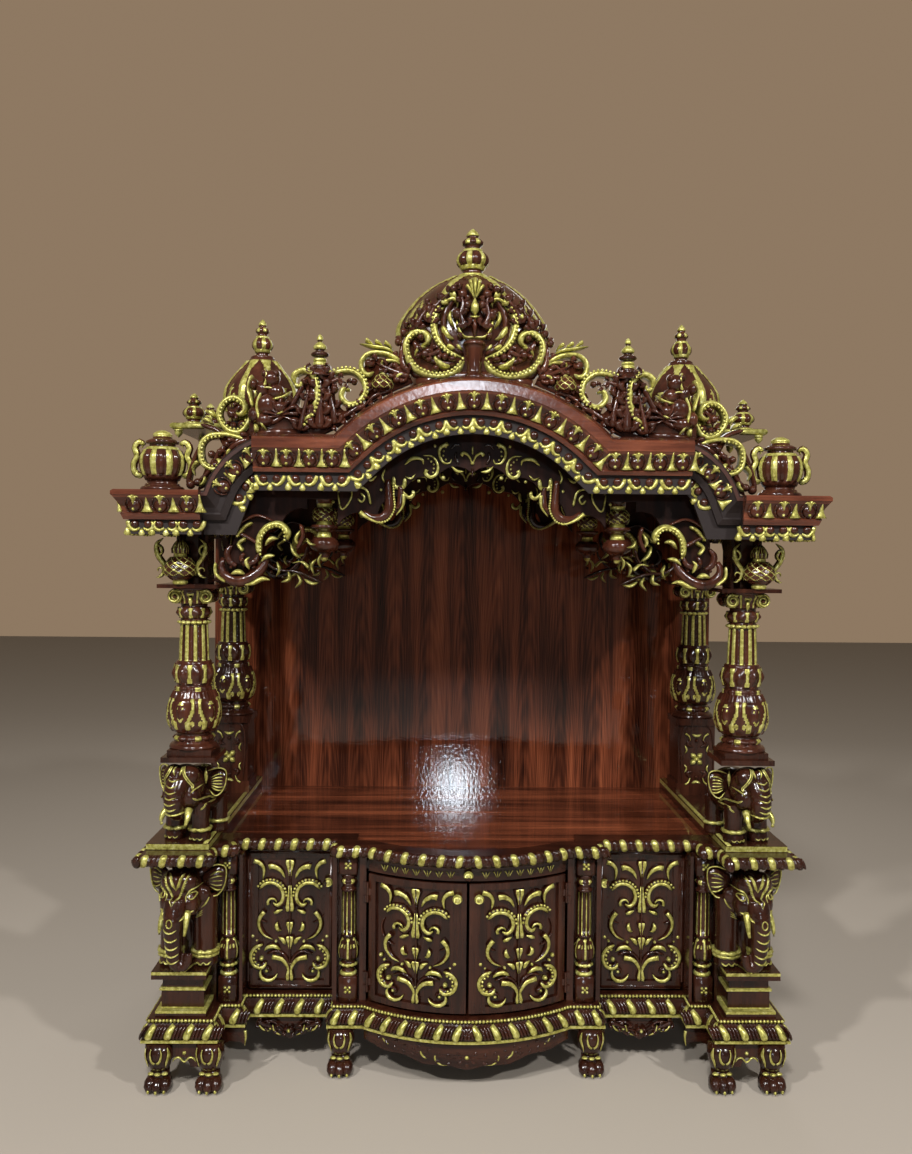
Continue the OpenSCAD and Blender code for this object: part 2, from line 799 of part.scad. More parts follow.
module cornice_arcs() {
    color(wood) here() both() intersection() {
        face_moulding(concat(arc_line, [[arc_x0 + cornice_lap, z_eave]]),
                      corner_profile, -eave_front + arc_in);
        board(arc_x1, half_eave, -eave_front, body_d, z_fringe - 20, 2 * z_eave);
    }
}

// A corner of the cornice turns through a mitre on its outer edge
module eave_corner(line) {
    plan_moulding(line, [for (i = [len(corner_profile) - 1:-1:0])
                            let (q = corner_profile[i]) [q[1], z_eave - q[0]]]);
}

module cornice_corners() {
    color(wood) here() both() {
        eave_corner([[arc_x0 + cornice_lap, -eave_front], [half_eave, -eave_front],
                     [half_eave, side_y0 - cornice_lap]]);
        eave_corner([[half_eave, side_y3 + cornice_lap], [half_eave, body_d]]);
    }
}

module cornice_sides() {
    color(wood) here() both() rotate([0, 0, 90])
        face_moulding([[side_y0 - cornice_lap, z_eave], [side_y3 + cornice_lap, z_eave]],
                      corner_profile, -(half_eave - arc_in));
}

// Upright plane region between two lines of an elevation, d0 and d1 below a line
function band(line, d0, d1) =
    let (up = grown(line, d0), down = grown(line, d1))
    concat(up, [for (i = [len(down) - 1:-1:0]) down[i]]);

module upright(y0, y1) {
    translate([0, y1, 0]) rotate([90, 0, 0]) linear_extrude(y1 - y0) children();
}

cornice_in = -eave_front + cornice_back;
arcs_in = cornice_in + arc_in;

module both_flat() {
    children();
    mirror([1, 0]) children();
}

// Band of the front elevation between two depths below the roof's line
module roof_band(d0, d1) {
    polygon(band(centre_line, d0, d1));
    both_flat() intersection() {
        polygon(band(arc_line, d0, d1));
        translate([arc_x1, 0]) square([eave_w, 2 * z_eave]);
    }
}

// All of the front elevation that lies deeper than d below the roof's line
module under_roof(d) {
    floor_z = z_soffit - 100;
    polygon(concat(grown(centre_line, d), [[arc_x1, floor_z], [-arc_x1, floor_z]]));
    both_flat() intersection() {
        polygon(concat(grown(arc_line, d), [[arc_x0 - 20, floor_z], [arc_x1 - 40, floor_z]]));
        translate([arc_x1, 0]) square([eave_w, 2 * z_eave]);
    }
}

// Barrel roof behind the front cornice, from front to back
module roof_vault() {
    color(wood) here() upright(arcs_in, back_y) roof_band(2, 2 + roof_t);
}

// Boards under the vault behind the front cornice and over the rear pillars
module spandrels() {
    color(wood) here() {
        upright(arcs_in, arcs_in + spandrel_t) roof_band(2 + roof_t, spandrel_d);
        upright(rear_y - spandrel_t / 2, rear_y + spandrel_t / 2) roof_band(2 + roof_t, spandrel_d);
    }
}

spandrel_t = 14;
spandrel_d = 66;
beam_x0 = pillar_x - post_w / 2;
beam_x1 = half_eave - arc_in - cornice_back;

// Beams from front to back that rest on the posts
module eave_beams() {
    color(wood) here() both()
        board(beam_x0, beam_x1, cornice_in, back_y, z_soffit, z_eave - roof_t);
}

// A shelf stands over each side on a block beside the vault
shelf_out = half_eave - 44;
shelf_in = shelf_out - 126;
shelf_t = 12;
shelf_y0 = side_y0 + arc_w;
shelf_y1 = side_y3 - arc_w;
shelf_finial_in = 32;

// Flat roof over each beam, and the shelf with its block
module roof_wings() {
    color(wood) here() both() {
        board(arc_x0, beam_x1, arcs_in, back_y, z_eave - roof_t, z_eave);
        difference() {
            union() {
                board(arc_x1 + 6, shelf_in, shelf_y0, shelf_y1, z_eave, z_side - shelf_t);
                board(arc_x1 + 6, shelf_out, shelf_y0, shelf_y1, z_side - shelf_t, z_side);
            }
            below_roof(0, body_d);
        }
    }
}

panel_in = half_w + slab_out - slab_in;

module back_panel() {
    color(wood) here() upright(back_y, back_y + 14) {
        translate([-half_w + 2, z_ledge]) square([base_w - 4, z_fringe - z_ledge]);
        translate([-panel_in, z_slab]) square([2 * panel_in, z_eave - roof_t - z_slab]);
        under_roof(14);
    }
}

// ---- fretwork, pendants and crowns -------------------------------------------------------

// Tapering band that winds from angle a0 to a1 about c while its radius goes from r0 to r1
module scroll(c, r0, r1, a0, a1, w0, w1) {
    n = max(8, round(abs(a1 - a0) / 18));
    function at(i, side) =
        let (t = i / n,
             a = a0 + (a1 - a0) * t,
             r = r0 + (r1 - r0) * t + side * (w0 + (w1 - w0) * t) / 2)
        c + r * [cos(a), sin(a)];
    polygon(concat([for (i = [0:n]) at(i, 1)], [for (i = [n:-1:0]) at(i, -1)]));
    translate(at(n, 0)) circle(w1 * 0.75, $fn = 20);
}

crest_t = 18;
crest_y = -eave_front + 20;

module ring(c, r, w) {
    translate(c) difference() {
        circle(r, $fn = 40);
        circle(r - w, $fn = 32);
    }
}

// The spools of the crest stand just outside the arch
spool_out = 29;
spool_h = 128;
spool_x = arch_w / 2 + spool_out;

// Fretted crest along the arch, the shoulder and the arc on one side: its leaves keep to the arch,
// its scrolls to the shoulder's end and its set-back part to the arc
module crest_sides() {
    z0 = z_shoulder;
    leaf_x = arch_w / 2;
    color(dark) here() both() {
        upright(crest_y, crest_y + crest_t) difference() {
            union() {
                polygon(band([for (p = centre_line) if (p[0] > 90) p], 6, -24));
                translate([leaf_x, z0]) polygon([[-113, 70], [-31, 20], [-31, 76], [-45, 146], [-67, 158],
                                                 [-87, 128], [-117, 110]]);
                ring([leaf_x - 30, z0 + 80], 34, 16);
                translate([spool_x, z0]) polygon([[-34, -4], [40, -4], [18, 50], [18, 84], [8, 110],
                                                  [10, spool_h], [-10, spool_h], [-8, 110], [-18, 84],
                                                  [-16, 50]]);
                ring([arc_x1 - 70, z0 + 72], 40, 17);
                translate([arc_x1 - 44, z0 + 34]) circle(36, $fn = 32);
            }
            under_roof(0);
        }
        upright(crest_y + arc_in, crest_y + arc_in + crest_t) difference() {
            union() {
                polygon(band(concat(arc_line, [[arc_x0 + cornice_lap, z_eave]]), 6, -20));
                ring([arc_x1 + 41, z0 + 38], 31, 15);
                translate([arc_x1, z0]) polygon([[14, -24], [46, -30], [58, 10], [26, 22]]);
                ring([arc_x0 - 13, z0 - 24], 30, 14);
            }
            under_roof(0);
            translate([arc_x0 - 20, z_eave - arc_w]) square(arc_w);
        }
    }
}

// Foiled fretwork boards hung below the spandrels, and below the beams at the sides
torana_t = 12;
springing = z_corbel + 6;
z_foil = z_shoulder + arch_rise - 158;
post_in = arch_w / 2;
post_out = post_in + 52;

// Foils that bulge upwards between one knot and the next
function foils(knots) = [for (i = [0:len(knots) - 2])
    each arc_points(knots[i], knots[i + 1], 0.62 * norm(knots[i + 1] - knots[i]), 5)];

centre_knots = [[0, z_foil], [post_in * 0.27, z_foil - 10], [post_in * 0.52, z_foil - 42],
                [post_in * 0.7, z_foil - 82], [post_in, z_foil - 96]];
side_knots = [[post_out, z_soffit + 22], [post_out + 46, z_soffit - 12], [post_out + 90, z_soffit - 60],
              [post_out + 84, springing + 14], [beam_x0, springing]];

module torana(front_d) {
    low = springing - 100;
    difference() {
        intersection() {
            under_roof(front_d);
            translate([-beam_x0, springing]) square([2 * beam_x0, z_eave]);
        }
        both_flat() {
            polygon(concat([[-1, low], [-1, z_foil]], foils(centre_knots), [[post_in, low]]));
            translate([post_in - 1, low]) square([post_out - post_in + 2, z_soffit + 40 - low]);
            polygon(concat([[post_out, low]], foils(side_knots),
                           [[beam_x0 + 1, springing], [beam_x0 + 1, low]]));
        }
    }
}

module torana_front() {
    color(dark) here() upright(arcs_in + 1, arcs_in + 1 + torana_t) torana(spandrel_d);
}

module torana_rear() {
    color(dark) here() upright(rear_y - torana_t / 2, rear_y + torana_t / 2) torana(spandrel_d);
}

module torana_sides() {
    y0 = pillar_y + post_w / 2 + 10;
    y1 = rear_y - post_w / 2;
    q = (y1 - y0) / 8;
    knots = [[y0 + 14, springing], [y0 + q, z_soffit - 74], [y0 + 2 * q, z_soffit - 46],
             [y0 + 4 * q, z_soffit - 30],
             [y1 - 2 * q, z_soffit - 46], [y1 - q, z_soffit - 74], [y1 - 14, springing]];
    color(dark) here() both() rotate([0, 0, 90]) upright(-pillar_x - torana_t / 2, -pillar_x + torana_t / 2)
        difference() {
            translate([y0, springing]) square([y1 - y0, z_soffit - springing]);
            polygon(concat([[y0 + 14, springing - 9]], foils(knots), [[y1 - 14, springing - 9]]));
        }
}

dome_y = 110;
z_drum = z_shoulder + arch_rise - 8;

function dome_profile(r, h) = concat([[0, 0]], [for (i = [0:14])
    let (a = 6 * i + 2) [r * cos(a), h * pow(sin(a), 0.94)]], [[0, h]]);

function finial_profile(h, r) = [
    [0, 0], [r * 1.05, 0], [r * 1.1, h * 0.05], [r * 0.7, h * 0.1], [r * 0.6, h * 0.16],
    [r * 0.75, h * 0.22], [r, h * 0.34], [r, h * 0.46], [r * 0.8, h * 0.58], [r * 0.4, h * 0.64],
    [r * 0.6, h * 0.68], [r * 0.35, h * 0.74], [r * 0.25, h * 0.8], [r * 0.4, h * 0.85],
    [r * 0.25, h * 0.92], [0, h]];

// Whatever lies under the roof's outer skin, in depth y0 to y1
module below_roof(y0, y1) {
    upright(y0, y1) under_roof(2);
}

module central_dome() {
    drum = 96;
    color(dark) here() difference() {
        translate([0, dome_y, z_drum]) {
            translate([0, 0, -2]) rotate_extrude($fn = 72)
                polygon([[0, 0], [dome_r - 16, 0], [dome_r - 16, 10], [dome_r - 22, 14],
                         [dome_r - 22, drum - 12], [dome_r - 4, drum - 6],
                         [dome_r - 4, drum + 4], [0, drum + 4]]);
            translate([0, 0, drum]) rotate_extrude($fn = 72) polygon(dome_profile(dome_r, dome_h));
            translate([0, 0, drum + dome_h - 6]) rotate_extrude($fn = 48) polygon(finial_profile(94, 28));
        }
        below_roof(dome_y - dome_r, dome_y + dome_r);
    }
}

side_dome_y = 64;
side_dome_x = arc_x1 + 4;
side_drum_r = side_dome_r - 12;

module side_domes() {
    color(dark) here() both() difference() {
        translate([side_dome_x, side_dome_y, z_eave]) {
            cylinder(h = 132, r = side_drum_r);
            translate([0, 0, 130]) rotate_extrude($fn = 60) polygon([
                [0, 0], [side_drum_r, 0], [side_dome_r - 2, 20], [side_dome_r, 58],
                [side_dome_r - 8, 80], [side_dome_r - 26, 98], [24, 106], [24, 112], [0, 112]]);
            translate([0, 0, 240]) rotate_extrude($fn = 40) polygon(finial_profile(72, 19));
        }
        below_roof(0, 2 * side_dome_y);
    }
}

urn_in = 73;
urn_front_in = 56;
urn_rear_in = 60;
urn_x = half_eave - urn_in;

module urn() {
    rotate_extrude($fn = 48) polygon([
        [0, 0], [36, 0], [36, 5], [26, 9], [24, 16], [34, 26], [39, 40], [39, 56], [33, 68], [22, 74],
        [24, 80], [20, 86], [10, 92], [9, 99], [0, 101]]);
    rotate([90, 0, 0]) translate([0, 0, -6]) linear_extrude(12) {
        for (e = [0, 1]) mirror([e, 0]) {
            scroll([36, 62], 16, 8, 180, -140, 6, 6);
            scroll([38, 30], 12, 8, 90, -120, 5, 5);
        }
    }
}

module urns() {
    color(dark) here() both() {
        translate([urn_x, -eave_front + urn_front_in, z_eave]) urn();
        translate([urn_x, body_d - urn_rear_in, z_eave]) urn();
    }
}

// Cartouche over the arch: a bud between two pairs of scrolls
module crest_centre() {
    foot = z_shoulder + arch_rise;
    color(dark) here() upright(crest_y, crest_y + crest_t) difference() {
        union() {
            polygon(band([for (p = arch_line) if (abs(p[0]) < 118) p], 6, -22));
            both_flat() {
                ring([80, foot + 42], 44, 19);
                polygon([[-1, foot], [44, foot], [56, foot + 40], [64, foot + 80], [50, foot + 120],
                         [24, foot + 150], [-1, foot + 172]]);
            }
        }
        under_roof(0);
    }
}

// Small finials: on the crest's spools and on the side shelves
module finials() {
    color(dark) here() both() {
        translate([spool_x, crest_y + crest_t / 2, z_shoulder + spool_h]) rotate_extrude($fn = 32)
            polygon(finial_profile(46, 13));
        for (y = [shelf_y0 + shelf_finial_in, shelf_y1 - shelf_finial_in])
            translate([shelf_out - shelf_finial_in - 1, y, z_side]) rotate_extrude($fn = 32)
                polygon(finial_profile(60, 21));
    }
}

function pendant_profile(h) = [
    [0, 0], [6, 0], [9, 6], [5, 12], [16, 18], [25, 28], [26, 36], [18, 46], [10, 52], [12, 58],
    [9, 64], [22, 68], [22, 73], [9, 78], [18, 88], [19, 98], [12, 108], [14, 112], [14, h], [0, h]];

pendant_x = arch_w / 2 + 26;

module pendants() {
    color(dark) here() both() {
        translate([pendant_x, arcs_in + 34, z_soffit - 70]) rotate_extrude($fn = 36)
            polygon(pendant_profile(150));
        translate([pendant_x, rear_y - 48, z_soffit - 70]) rotate_extrude($fn = 36)
            polygon(pendant_profile(150));
    }
}

// ---- nodes ---------------------------------------------------------------------------

base_moulding();
cabinet_floor();
paw_feet();
corner_brackets();
aprons();
front_piers();
corner_piers();
side_wall_left();
side_wall_right();
cabinet_back();
colonettes();
corner_plinths();
elephants_lower();
hinges();
side_door_left();
side_door_right();
bow_door_left();
bow_door_right();
drawer();
drawer_rails();
rope_slab();
platform();
side_ledges();
elephants_upper();
pillar_plates();
front_pillars();
rear_pedestals();
rear_pillars();
canopy_posts();
pineapples();
cornice_centre();
cornice_arcs();
cornice_corners();
cornice_sides();
spandrels();
eave_beams();
roof_vault();
roof_wings();
back_panel();
torana_front();
torana_rear();
torana_sides();
pendants();
central_dome();
side_domes();
urns();
crest_centre();
crest_sides();
finials();
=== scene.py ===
import math
import bmesh
import bpy
import numpy as np
from mathutils import Matrix, Vector
from mathutils.bvhtree import BVHTree


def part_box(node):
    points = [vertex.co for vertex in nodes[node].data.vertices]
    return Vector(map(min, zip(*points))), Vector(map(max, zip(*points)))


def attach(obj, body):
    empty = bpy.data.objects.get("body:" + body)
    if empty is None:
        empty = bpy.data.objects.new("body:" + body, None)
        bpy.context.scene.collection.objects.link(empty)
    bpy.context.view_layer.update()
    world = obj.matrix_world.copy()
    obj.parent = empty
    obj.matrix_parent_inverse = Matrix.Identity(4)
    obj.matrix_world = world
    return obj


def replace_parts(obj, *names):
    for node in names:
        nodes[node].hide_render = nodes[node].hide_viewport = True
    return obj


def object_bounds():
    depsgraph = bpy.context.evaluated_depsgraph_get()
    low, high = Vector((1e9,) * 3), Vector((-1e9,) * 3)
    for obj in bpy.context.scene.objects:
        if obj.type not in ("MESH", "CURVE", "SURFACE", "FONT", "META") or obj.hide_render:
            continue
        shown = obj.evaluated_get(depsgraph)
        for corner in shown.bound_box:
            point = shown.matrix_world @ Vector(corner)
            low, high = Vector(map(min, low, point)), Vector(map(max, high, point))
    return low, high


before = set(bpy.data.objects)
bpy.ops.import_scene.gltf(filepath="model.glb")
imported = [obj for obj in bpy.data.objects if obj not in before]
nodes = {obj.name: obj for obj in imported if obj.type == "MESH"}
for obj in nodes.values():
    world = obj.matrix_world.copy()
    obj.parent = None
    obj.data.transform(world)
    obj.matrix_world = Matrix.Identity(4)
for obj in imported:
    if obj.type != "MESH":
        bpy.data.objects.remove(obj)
cadLow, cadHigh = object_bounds()
mm = 0.001
frontY = cadLow[1] + 66 * mm  # face of the corner blocks, where the drawings below have y = 0


class Wire:
    # a socket that can stand in a sum
    def __init__(self, graph, socket):
        self.graph, self.socket = graph, socket

    def __add__(self, other): return self.graph.sum("ADD", self, other)
    def __radd__(self, other): return self.graph.sum("ADD", other, self)
    def __sub__(self, other): return self.graph.sum("SUBTRACT", self, other)
    def __rsub__(self, other): return self.graph.sum("SUBTRACT", other, self)
    def __mul__(self, other): return self.graph.sum("MULTIPLY", self, other)
    def __rmul__(self, other): return self.graph.sum("MULTIPLY", other, self)
    def __truediv__(self, other): return self.graph.sum("DIVIDE", self, other)


class Graph:
    # nodes of a shader or a geometry tree, made and linked in one call each
    def __init__(self, tree):
        self.tree = tree

    def node(self, kind, settings=None, values=None, out=0):
        made = self.tree.nodes.new(kind)
        for key, value in (settings or {}).items():
            if key == "stops":
                ramp = made.color_ramp
                while len(ramp.elements) < len(value):
                    ramp.elements.new(0.5)
                for element, (place, colour) in zip(ramp.elements, value):
                    element.position, element.color = place, (*colour, 1)
            else:
                setattr(made, key, value)
        for key, value in (values or {}).items():
            if isinstance(value, Wire):
                self.tree.links.new(value.socket, made.inputs[key])
            else:
                made.inputs[key].default_value = value
        self.last = made
        return Wire(self, made.outputs[out]) if len(made.outputs) else None

    def sum(self, how, a, b=0.0):
        return self.node("ShaderNodeMath", {"operation": how}, {0: a, 1: b})

    def axes(self, vector):
        self.node("ShaderNodeSeparateXYZ", {}, {0: vector})
        return [Wire(self, output) for output in self.last.outputs]

    def ramp(self, stops, tone):
        return self.node("ShaderNodeValToRGB", {"stops": stops}, {0: tone})

    def bump(self, strength, distance, height):
        return self.node("ShaderNodeBump", {}, {"Strength": strength, "Distance": distance, "Height": height})

    def above(self, value, edge, soft):  # 0 below the edge, 1 above it
        return self.node("ShaderNodeMapRange", {"interpolation_type": "SMOOTHSTEP"},
                         {0: value, 1: edge - soft, 2: edge + soft, 3: 0.0, 4: 1.0})

    def within(self, value, low, high, soft):
        return self.above(value, low, soft) * (1 - self.above(value, high, soft))

    def mix(self, share, a, b):
        made = self.node("ShaderNodeMix", {"data_type": "RGBA"}, {0: share}, out=2)
        for key, value in ((6, a), (7, b)):
            if isinstance(value, Wire):
                self.tree.links.new(value.socket, self.last.inputs[key])
            else:
                self.last.inputs[key].default_value = (*value, 1)
        return made

    def noise(self, vector, scale, detail=3.0, rough=0.5):
        return self.node("ShaderNodeTexNoise", {}, {"Vector": vector, "Scale": scale, "Detail": detail,
                                                    "Roughness": rough})

    def stretched(self, vector, scale):
        return self.node("ShaderNodeMapping", {}, {"Vector": vector, "Scale": scale})


lacquer = {"dark": (0.014, 0.0040, 0.0024), "mid": (0.050, 0.0140, 0.0072), "warm": (0.112, 0.034, 0.0165),
           "rough": 0.16, "under": 0.42, "streak": 1.3, "cloud": 0.7, "middle": 0.42, "grain": (60, 60, 9),
           "bump": 0.22}
depth = {"bright": 2.0, "carved": 1.0, "cabinet": 0.62, "shaded": 0.32}  # brightness of the same lacquer in each place: painted light on the top mouldings, darker on the lower cabinet, painted shade under the canopy
gilding = {"deep": (0.13, 0.105, 0.016), "mid": (0.46, 0.425, 0.100), "light": (0.78, 0.75, 0.33),
           "rough": 0.30, "metal": 0.45, "edge": 420.0, "brush": 0.32, "soft": 0.09, "wave": 1.2 * mm}


def newFinish(name):
    finish = bpy.data.materials.new(name)
    finish.use_nodes = True
    finish.node_tree.nodes.clear()
    graph = Graph(finish.node_tree)
    shader = graph.node("ShaderNodeBsdfPrincipled", {}, {"Specular IOR Level": lacquer["under"]})
    graph.shader = graph.last
    graph.node("ShaderNodeOutputMaterial", {}, {"Surface": shader})
    graph.place = graph.node("ShaderNodeTexCoord", {}, {}, out=3)
    return finish, graph


def plug(graph, **wires):  # into the sockets of the finish; _ stands for a space
    for name, wire in wires.items():
        graph.tree.links.new(wire.socket, graph.shader.inputs[name.replace("_", " ")])


# the lacquer colour scaled for the painted light and shade of its place
def paintedLightTone(colour, paintedShading):
    return tuple(c * depth[paintedShading] for c in colour)


def woodColour(graph, grain, strength, paintedShading):
    # streaks along the grain under a cloudy stain
    streak = graph.noise(graph.stretched(graph.place, grain), 1.0, 4.0, 0.6)
    cloud = graph.noise(graph.place, 9.0, 2.0)
    tone = (streak - 0.5) * lacquer["streak"] * strength + (cloud - 0.5) * lacquer["cloud"] + lacquer["middle"]
    stops = ((0.0, "dark"), (0.45, "mid"), (1.0, "warm"))
    return graph.ramp([(place, paintedLightTone(lacquer[key], paintedShading)) for place, key in stops], tone)


# gold colours; the given share below 1 darkens the gold as painted shade
def giltColour(graph, goldPaintedLight):
    # a cloudy tone over the gold, partly real and partly painted light: its dark and pale ends stand in for painted
    # shade in the hollows and painted highlights
    cloud = graph.noise(graph.place, 160.0, 3.0, 0.6)
    stops = ((0.25, "deep"), (0.5, "mid"), (0.8, "light"))
    return graph.ramp([(place, tuple(c * goldPaintedLight for c in gilding[key])) for place, key in stops], cloud)


def paintedWood(name, bands=(), carved=True, bump=0.35, paintedShading="carved", goldPaintedLight=1.0):
    # lacquered wood; gold where the mesh says so, and in bands of height
    finish, graph = newFinish(name)
    ground = woodColour(graph, lacquer["grain"], 1.0, paintedShading)
    edge = graph.noise(graph.place, gilding["edge"], 2.0)
    mask = None
    if carved:
        painted = graph.node("ShaderNodeAttribute", {"attribute_name": "gilt"}, {}, out=2)
        mask = graph.above(painted + (edge - 0.5) * gilding["brush"], 0.5, gilding["soft"])
    if bands:
        wavy = graph.axes(graph.place)[2] + (edge - 0.5) * gilding["wave"]
        for low, high in bands:
            band = graph.within(wavy, low * mm, high * mm, 0.5 * mm)
            mask = band if mask is None else graph.sum("MAXIMUM", mask, band)
    ripple = graph.noise(graph.place, 130.0, 3.0, 0.55)
    relief = graph.bump(bump, 1.2 * mm, ripple)
    if mask is None:
        plug(graph, Base_Color=ground, Normal=relief)
        graph.shader.inputs["Roughness"].default_value = lacquer["rough"]
    else:
        plug(graph, Base_Color=graph.mix(mask, ground, giltColour(graph, goldPaintedLight)), Normal=relief,
             Roughness=lacquer["rough"] + mask * (gilding["rough"] - lacquer["rough"]),
             Metallic=mask * gilding["metal"])
    return finish


# painted shade: the ground behind the leaf band and the fringe is painted darker and left matt
recessShade = {"ground": (4 * mm, 12.6 * mm), "share": 0.65, "behind": 20 * mm, "matt": 0.5, "under": 0.12}


def smoothWood(name, grain, paintedShading="cabinet", shadeRecesses=False):
    # moulded and flat work: long streaks with pores
    finish, graph = newFinish(name)
    streaks = woodColour(graph, grain, 1.5, paintedShading)
    pores = graph.noise(graph.stretched(graph.place, tuple(6 * g for g in grain)), 1.0, 3.0, 0.7)
    shade = graph.mix(graph.above(pores, 0.62, 0.08) * 0.5, streaks, paintedLightTone(lacquer["dark"], paintedShading))
    if shadeRecesses:
        # painted shade: the cove behind the leaf band is darkened, and everything further inside the cornice darker
        # still
        x, y, _ = graph.axes(graph.place)
        inward = graph.sum("MINIMUM", y - cadLow[1], cadHigh[0] - graph.sum("ABSOLUTE", x))
        ground = graph.within(inward, *recessShade["ground"], 0.4 * mm) * recessShade["share"]
        behind = graph.above(inward, recessShade["behind"], 0.5 * mm)
        shade = graph.mix(ground, shade, paintedLightTone(lacquer["dark"], "carved"))
        shade = graph.mix(behind, shade, paintedLightTone(lacquer["dark"], "cabinet"))
    ripple = graph.noise(graph.place, 95.0, 3.0)
    plug(graph, Base_Color=shade, Normal=graph.bump(lacquer["bump"], 1 * mm, ripple))
    if shadeRecesses:
        plug(graph, Roughness=lacquer["rough"] + behind * recessShade["matt"])
    else:
        graph.shader.inputs["Roughness"].default_value = recessShade["matt"] if paintedShading == "shaded" else lacquer["rough"]
    if paintedShading == "shaded":
        graph.shader.inputs["Specular IOR Level"].default_value = recessShade["under"]
    return finish


board = {"deep": (0.013, 0.0038, 0.0026), "dark": (0.055, 0.0145, 0.0070), "red": (0.180, 0.0470, 0.0200),
         "light": (0.330, 0.098, 0.040), "rough": 0.04, "middle": 0.46, "fineShare": 0.85, "broadShare": 1.2,
         "ringShare": 0.055, "rings": 6.3, "stray": 14, "sway": 0.05,
         "z": {"rise": 14.0, "bend": 5.5, "drift": (9, 9, 1.2), "fine": (420, 420, 7), "broad": (26, 26, 1.6),
               "ripple": (170, 170, 120)},
         "x": {"rise": 3.0, "bend": 9.0, "drift": (1.2, 9, 9), "fine": (7, 420, 420), "broad": (1.2, 30, 30),
               "ripple": (120, 170, 170)}}


def veneerBoard(name, along, across, leaf=78 * mm):
    # book-matched veneer: pointed arches of grain in every leaf, straight streaks between
    finish, graph = newFinish(name)
    axes, way = dict(zip("xyz", graph.axes(graph.place))), board[along]

    def noise(scale, detail, rough=0.5):
        return graph.noise(graph.stretched(graph.place, way[scale]), 1.0, detail, rough)
    drift, fine, broad = noise("drift", 2.0), noise("fine", 3.0, 0.6), noise("broad", 3.0)
    swing = graph.sum("PINGPONG", axes[across] + (drift - 0.5) * board["sway"], leaf / 2) / (leaf / 2)
    arch = axes[along] * way["rise"] + swing * swing * way["bend"]
    rings = graph.sum("SINE", arch * board["rings"] + (drift - 0.5) * board["stray"])
    tone = (board["middle"] + (fine - 0.5) * board["fineShare"] + (broad - 0.5) * board["broadShare"]
            + rings * board["ringShare"])
    stops = ((0.08, "deep"), (0.34, "dark"), (0.62, "red"), (0.95, "light"))
    colour = graph.ramp([(place, board[key]) for place, key in stops], tone)
    relief = graph.bump(0.15, 0.8 * mm, noise("ripple", 2.0))
    plug(graph, Base_Color=colour, Normal=relief)
    graph.shader.inputs["Roughness"].default_value = board["rough"]
    return finish


def finishOf(name):  # what a piece of carving is painted with
    return pieceFinish.get(name.split("_")[0], carvedWood)


# copies of one finish that differ only in painted light and shade: darker on the cabinet, painted shade on the
# hanging boards
carvedWood = paintedWood("carvedWood")
cabinetCarving = paintedWood("cabinetCarving", paintedShading="cabinet")
# on the hanging boards under the canopy the gold is darkened as well, as painted shade
shadedCarving = paintedWood("shadedCarving", paintedShading="shaded", goldPaintedLight=0.75)
pieceFinish = {name: cabinetCarving for name in (
    "sideDoorCarving", "bowDoorCarving", "drawerCarving", "ropeRight", "ropeLeft", "gadroonsRight", "gadroonsLeft",
    "footBeads", "pawCarving", "apronCarving", "edgeCarving", "colonetteCarving", "lowerElephantCarving",
    "upperElephantCarving", "pedestalCarving", "rearPillarCarving")}
pieceFinish.update({name: shadedCarving for name in (
    "toranaCarvingFront", "toranaCarvingRear", "toranaCarvingSides", "bracketCarvingRear", "bracketVines")})
# the cornice mouldings take painted light, with painted shade in their recesses; spandrels and hanging boards take
# painted shade
finishes = {"upright": smoothWood("uprightWood", (46, 46, 4)), "level": smoothWood("levelWood", (4, 46, 46)),
            "deep": smoothWood("deepWood", (46, 4, 46)),
            "moulding": smoothWood("mouldingWood", (4, 46, 46), paintedShading="bright", shadeRecesses=True),
            "sideMoulding": smoothWood("sideMouldingWood", (46, 4, 46), paintedShading="bright", shadeRecesses=True),
            "roof": smoothWood("roofWood", (46, 4, 46), paintedShading="carved"),
            "shaded": smoothWood("shadedWood", (46, 46, 4), paintedShading="shaded"),
            "back": veneerBoard("backVeneer", "z", "x"), "top": veneerBoard("topVeneer", "x", "y", 260 * mm),
            "plinth": paintedWood("plinthWood", bands=[(137, 142), (172.5, 177.5), (205, 210.4)], carved=False,
                                  bump=0.12, paintedShading="cabinet"),
            "footMoulding": paintedWood("footMouldingWood", bands=[(89.5, 95.4)], carved=False, bump=0.2,
                                        paintedShading="cabinet"),
            "ledge": paintedWood("ledgeWood", bands=[(426, 435.4)], carved=False, bump=0.12, paintedShading="cabinet"),
            "plates": paintedWood("plateWood", carved=False, bump=0.15, paintedShading="cabinet")}
nodeFinish = {"back_panel": "back", "platform": "top", "hinges": "upright", "base_moulding": "footMoulding",
              "corner_plinths": "plinth", "side_ledges": "ledge", "pillar_plates": "plates", "rope_slab": "level",
              "cornice_centre": "moulding", "cornice_arcs": "moulding", "cornice_corners": "moulding",
              "cornice_sides": "sideMoulding", "roof_vault": "roof", "roof_wings": "roof", "eave_beams": "deep",
              "spandrels": "shaded", "torana_front": "shaded", "torana_rear": "shaded", "torana_sides": "shaded",
              "drawer": "level", "aprons": "level", "cabinet_floor": "level"}
for name, part in nodes.items():
    part.data.materials.clear()
    part.data.materials.append(finishes[nodeFinish.get(name, "upright")])
print("finishes assigned to", len(nodes), "CAD nodes")

view = {"place": (-57, -1797, 969), "yaw": -0.95, "pitch": -1.56, "roll": 0.52, "lens": 31.98}


